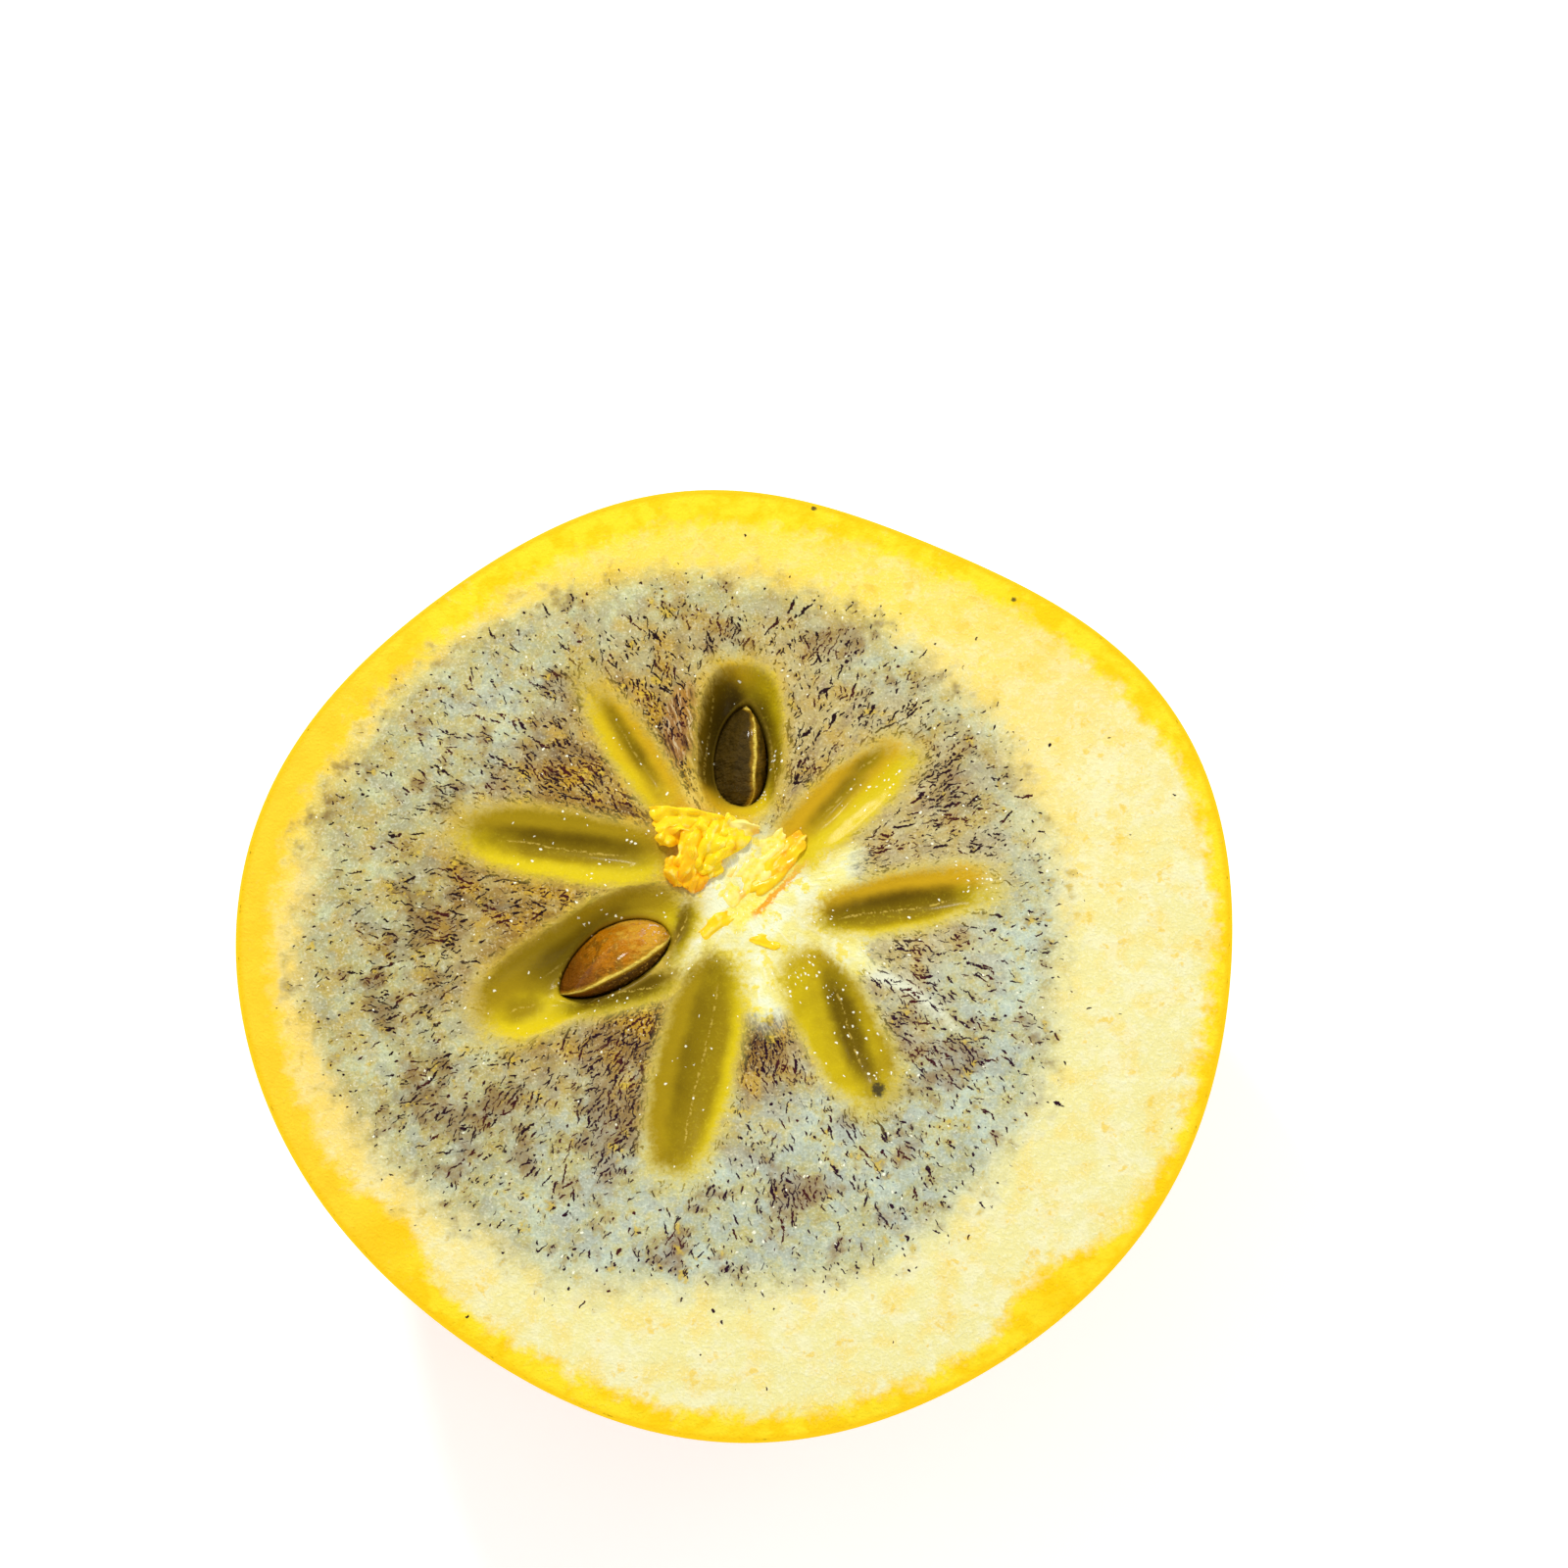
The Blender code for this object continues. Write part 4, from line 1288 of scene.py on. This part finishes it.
def paint_flesh():
    """The wet cut face, layered from the rim inwards."""
    finish = Finish("cut_flesh", Specular_IOR_Level=0.04, Coat_Roughness=0.12, Coat_IOR=1.25)
    f = FleshFields(finish)
    zone_edge = f.zone + f.coarse.sway(3.5) + f.blotch.sway(4) + f.pale * 0.8
    zone = (zone_edge + 1.6 - 1.6 * f.pale).rise(-0.5, 3.5)
    # Stained clusters, the brown flesh between the pockets, and what is torn or pale in it.
    stain = (f.cluster + f.stain + f.blotch.sway(0.25)).rise(0.52, 0.74) * zone
    knot = f.cluster * 0.35 + f.blotch * 0.65 + f.stain * 0.4 + f.fine.sway(0.25)
    knot = knot.rise(0.53, 0.66) * zone
    limit = f.reach + f.coarse.sway(10) + f.pale * 6 + f.cloud.sway(8)
    brown = (f.wedge + f.cloud.sway(0.9)).rise(-0.2, 0.25) * limit.rise(27, 17)
    brown = brown * (f.star + f.streaks.sway(4) + f.wedge * 1.5).rise(0.6, -1.4)
    brown = brown * (0.96 - 0.28 * f.right)
    fibrous = (f.fibrous + f.fine.sway(0.4)).rise(0.25, 0.5)
    flap = abs(f.x + 4.2) + (f.y - 10.6) * 0.5 + f.fine.sway(0.8)
    flap = flap.rise(0.5, -0.1) * f.y.rise(5.5, 7.0)
    flap_color = finish.layers((176, 136, 36), (f.streaks.rise(0.42, 0.58), (230, 200, 104)))
    rays = (f.white_rays + f.streaks.sway(0.8) + f.fine.sway(0.6)).rise(0.1, 0.8)
    yellow_spot = (f.blotch * 0.5 + f.fine * 0.2 + f.clear * 0.3).rise(0.59, 0.64)
    dark = dark_strokes(finish, f, zone_edge, zone, stain, knot, brown)
    reddish = (f.warmth + f.fine.sway(0.3)).rise(0.5, 0.62)
    ink = finish.layers(((34, 16, 16), (42, 14, 34)), (reddish * 0.6, (84, 32, 24)), between=f.pale)
    # The white star of the core, longer between the lower pockets.
    longer = f.wedge * 2.2 * (f.y - f.x).rise(6, -6)
    star = f.star + longer + f.streaks.sway(2.4) + f.cloud.sway(2.5) + f.fine.sway(1)
    # The pockets, then the slit round a seed, painted dark as shade, and its pale lip.
    edge = f.inside + f.cloud.sway(0.9) + f.fine.sway(0.9)
    lip = f.gap.rise(0.42, 0.25) * f.gap.rise(0.05, 0.18)
    marks = []
    for x, y, radius in MARKS:
        off = finish.vector("DISTANCE", f.flat, (x, y, 0), key="Value") + f.fine.sway(1.6 * radius)
        marks.append((off.rise(radius, 0.4 * radius) * 0.85, (34, 32, 34)))
    # Painted glints: wet specks of light.
    bright = f.cloud.rise(0.5, 0.64) * (0.05 + 0.03 * f.inside.rise(-0.8, 0.4)) * zone
    painted_glint_specks = strokes(finish, f, bright + 0.01 * zone + 0.4 * f.wet, *GLINT_SPECK_SIZES)
    color = finish.layers(
        outer_color(finish, f),
        (zone, zone_color(finish, f)),
        (stain * 0.6, ((120, 84, 42), (144, 114, 78))),
        (knot * 0.34, ((108, 74, 46), (124, 94, 80))),
        (brown, between_color(finish, f)),
        (fibrous, fibrous_color(finish, f)),
        (flap * 0.85, flap_color),
        (rays * 0.85, (234, 236, 206)),
        (yellow_spot * zone * 0.55, (230, 198, 60)),
        (dark, ink),
        (star.rise(-1.4, 1.4), core_color(finish, f)),
        (edge.rise(-1.2, 0.1) * 0.6, ((216, 184, 62), (236, 220, 104))),
        (edge.rise(-0.45, 0.4), pocket_color(finish, f)),
        (lip * 0.2, (206, 172, 60)),
        # Painted shade: the slit round a seed is painted dark.
        (f.gap.rise(0.16, -0.1), (84, 58, 6)),
        *marks,
        # Painted glints.
        (painted_glint_specks * 1.2, (255, 253, 226)), between=f.pale)
    wet = f.inside.rise(-0.1, 0.7)
    finish.set(Base_Color=color, Roughness=0.55 - 0.15 * wet, Coat_Weight=0.08 + 0.05 * wet)
    height = f.fine * 0.5 + f.grain * 0.3 + f.streaks * 0.4
    finish.bump(height * (1 - 0.6 * wet), 0.6, 0.0003)
    return finish.material


finish_piece(flesh, "fruit", paint_flesh(), "fruit_half")

# %% [markdown]
# ## Pulp, seeds, skin, calyx and stem
# The other finishes are simpler. The skin is silky orange with yellow clouds and streaks, a
# pale bloom and painted shade low down, the seeds are brown with a cream rim, painted shade
# on the back flank and, on the left one, painted highlights, the pulp is bright with painted
# shade in its folds and painted highlights, and glows a little as if light came through it,
# and the calyx and stem are dry and brown.

# %% Pulp finish


def paint_pulp():
    """Torn pulp: bright yellow, orange where it is thick, painted orange shade where it is folded or
    low, painted highlights on its raised fibres, and a faint painted glow.
    """
    # The faint glow is painted light, as if light came through the pulp.
    finish = Finish("torn_pulp", Specular_IOR_Level=0.1, Coat_Weight=0.18, Coat_Roughness=0.1,
                    Emission_Strength=0.06)
    at_core = finish.place(CORE * MM)
    tone, fibres, folds = finish.note("tone")
    fine = finish.noise(at_core, 3.2, 3.0, 0.6)
    warmth = tone + fine.sway(1.2) - fibres * 0.5
    low = (finish.split(at_core)[2] + folds * 0.3).rise(0.5, -0.2) * tone.rise(-0.6, 0.6)
    color = finish.layers(
        (248, 232, 130),
        (warmth.rise(-1.1, -0.4), (252, 216, 22)),
        (warmth.rise(0.35, 1.2), (250, 184, 12)),
        # Painted shade: orange where the pulp is low.
        (low * 0.8, (236, 138, 12)),
        # Painted shade in the folds.
        ((folds + fine.sway(0.8)).rise(-0.2, -0.7) * 0.55, (240, 150, 8)),
        # Painted highlights on the raised fibres.
        ((fibres + (fine - 0.5)).rise(0.25, 0.6) * 0.5, (255, 240, 130)))
    finish.set(Base_Color=color, Emission_Color=color, Roughness=0.35 + 0.2 * fine)
    finish.bump(fine, 0.3, 0.0002)
    return finish.material


finish_piece(pulp, "fruit", paint_pulp(), "fruit_half")

# %% Seed finish


def paint_seed(name, front, back, wave, shine):
    """The seed coat: a brown front flank and a back flank painted darker as shade, a wavy cream ridge
    along the rim, and a painted highlight where it shines.
    """
    finish = Finish(name, Specular_IOR_Level=0.05, Coat_Weight=0.22, Coat_Roughness=0.1, Coat_IOR=1.35)
    spot = finish.place()
    side, out, _ = finish.note("seed")
    mottle = finish.noise(spot, 1.2, 4.0, 0.6)
    fine = finish.noise(spot, 4.0, 3.0, 0.6)
    wavy = finish.noise(finish.vector("MULTIPLY", spot, (1, 1, 0.4)), 0.55, 2.0, 0.5)
    blurred = out + (mottle - 0.5)
    # Painted highlight towards the inner end, with painted glints in it.
    pale = (out + mottle.sway(2)).rise(0.0, -0.6) * side.rise(0.0, -0.2)
    glint = (mottle + fine * 0.3).rise(0.72, 0.78) * blurred.rise(-0.2, -0.5) * pale
    off_rim = abs(side + wavy.sway(wave))
    color = finish.layers(
        front,
        # Painted shade: the back flank is darker.
        (side.rise(-0.08, 0.12), back),
        (mottle.rise(0.54, 0.38) * 0.75, tuple(part // 2 for part in front)),
        (fine.rise(0.55, 0.68) * shine * 0.6, (222, 170, 66)),
        (blurred.rise(0.1, 0.6) * shine, (112, 62, 8)),
        (pale * shine * 0.8, (232, 176, 52)),
        (glint * shine, (246, 236, 236)),
        (off_rim.rise(0.18, 0.05) * 0.6, (186, 140, 24)),
        ((off_rim + fine.sway(0.05)).rise(0.07, 0.02) * 0.9, (240, 212, 90)))
    finish.set(Base_Color=color, Roughness=0.3 + 0.2 * mottle)
    wrinkle = finish.noise(finish.vector("MULTIPLY", spot, (0.5, 0.8, 0.3)), 1.6, 3.0, 0.6)
    finish.bump(wrinkle + fine * 0.3, 0.8, 0.0009)
    return finish.material


# Front flank, back flank in painted shade, waviness of the rim, and shine, which brings the dark tip,
# light flecks and painted highlight.
finish_piece(seeds["seed_left"], "seed",
             paint_seed("seed_coat", (184, 114, 4), (78, 48, 8), 0.2, 0.9), "seed_left")
finish_piece(seeds["seed_top"], "seed",
             paint_seed("dark_seed_coat", (118, 90, 24), (76, 58, 16), 0.5, 0.0), "seed_top")

# %% Skin finish


def paint_skin():
    """Silky orange skin with yellow clouds and streaks, a pale bloom and painted shade on its low
    sides.
    """
    finish = Finish("skin", Specular_IOR_Level=0.08, Coat_Roughness=0.14, Coat_IOR=1.25)
    spot = finish.place()
    z = finish.split(spot)[2]
    clouds = finish.noise(spot, 0.05, 3.0, 0.5)
    patches = finish.noise(finish.vector("ADD", spot, (31, 5, 0)), 0.13, 4.0, 0.6)
    fine = finish.noise(spot, 1.6, 4.0, 0.7)
    ragged = fine.sway(0.35)
    streak = finish.noise(finish.vector("MULTIPLY", spot, (1, 1, 0.4)), 0.9, 4.0, 0.7)
    bloom = finish.noise(finish.vector("ADD", spot, (3, 50, 9)), 0.08, 3.0, 0.55)
    bloom = (bloom + ragged * 0.7).rise(0.55, 0.68)
    pores = finish.node("TexVoronoi", {}, {"Vector": spot, "Scale": 1.4})
    pore = finish.out(pores, "Distance").rise(0.16, 0.08)
    color = finish.layers(
        (190, 98, 8),
        ((clouds + ragged * 0.4).rise(0.38, 0.62), (212, 130, 10)),
        ((patches + ragged * 0.6).rise(0.46, 0.7) * 0.6, (228, 160, 14)),
        # Painted shade: darker brown towards the bottom.
        ((z + patches.sway(14)).rise(14, 2) * 0.5, (146, 76, 20)),
        (streak.rise(0.5, 0.62) * 0.28, (236, 176, 46)),
        (streak.rise(0.46, 0.36) * 0.25, (168, 92, 10)),
        (bloom * 0.35, (226, 178, 124)),
        (pore * 0.15, (236, 176, 70)),
        (z.rise(CUT_HEIGHT - 1.6, CUT_HEIGHT - 0.3), (252, 204, 20)))
    finish.set(Base_Color=color, Roughness=0.34 + 0.16 * bloom + 0.08 * fine,
               Coat_Weight=0.25 - 0.15 * bloom)
    finish.bump(fine * 0.5 + pore * 0.3 + patches, 0.25, 0.0002)
    return finish.material


finish_piece(skin, "fruit", paint_skin(), "fruit_half")

# %% Calyx and stem finishes


def paint_calyx():
    """Dry leaf: green brown, paler veins, browner edges."""
    finish = Finish("dry_leaf", Specular_IOR_Level=0.3)
    spot = finish.place()
    outward, _, vein = finish.note("leaf")
    patches = finish.noise(spot, 0.25, 4.0, 0.6)
    fine = finish.noise(spot, 2.5, 4.0, 0.7)
    color = finish.layers(
        (112, 104, 52),
        (patches.rise(0.4, 0.62), (150, 122, 66)),
        ((outward + fine.sway(0.5)).rise(0.8, 1.05) * 0.8, (104, 76, 42)),
        (vein.rise(0.9, 1.0) * 0.35, (176, 158, 98)),
        (fine.rise(0.6, 0.74) * 0.5, (80, 58, 34)))
    finish.set(Base_Color=color, Roughness=0.7 + 0.2 * fine)
    finish.bump(vein * 0.6 + fine * 0.5, 0.5, 0.0003)
    return finish.material


def paint_bark(name, light, dark):
    """Rough dry bark."""
    finish = Finish(name, Specular_IOR_Level=0.25)
    spot = finish.place()
    stringy = finish.noise(finish.vector("MULTIPLY", spot, (1, 1, 0.35)), 1.6, 5.0, 0.7)
    fine = finish.noise(spot, 5.0, 3.0, 0.7)
    finish.set(Base_Color=finish.layers(dark, (stringy.rise(0.38, 0.64), light)),
               Roughness=0.8 + 0.15 * fine)
    finish.bump(stringy + fine * 0.5, 0.6, 0.0003)
    return finish.material


finish_piece(sepals, "calyx", paint_calyx(), "calyx")
finish_piece(disc, "calyx", paint_bark("calyx_disc", (148, 120, 70), (96, 74, 40)), "calyx")
finish_piece(stem, "stem", paint_bark("stem_bark", (104, 80, 54), (52, 38, 26)), "stem_stub")
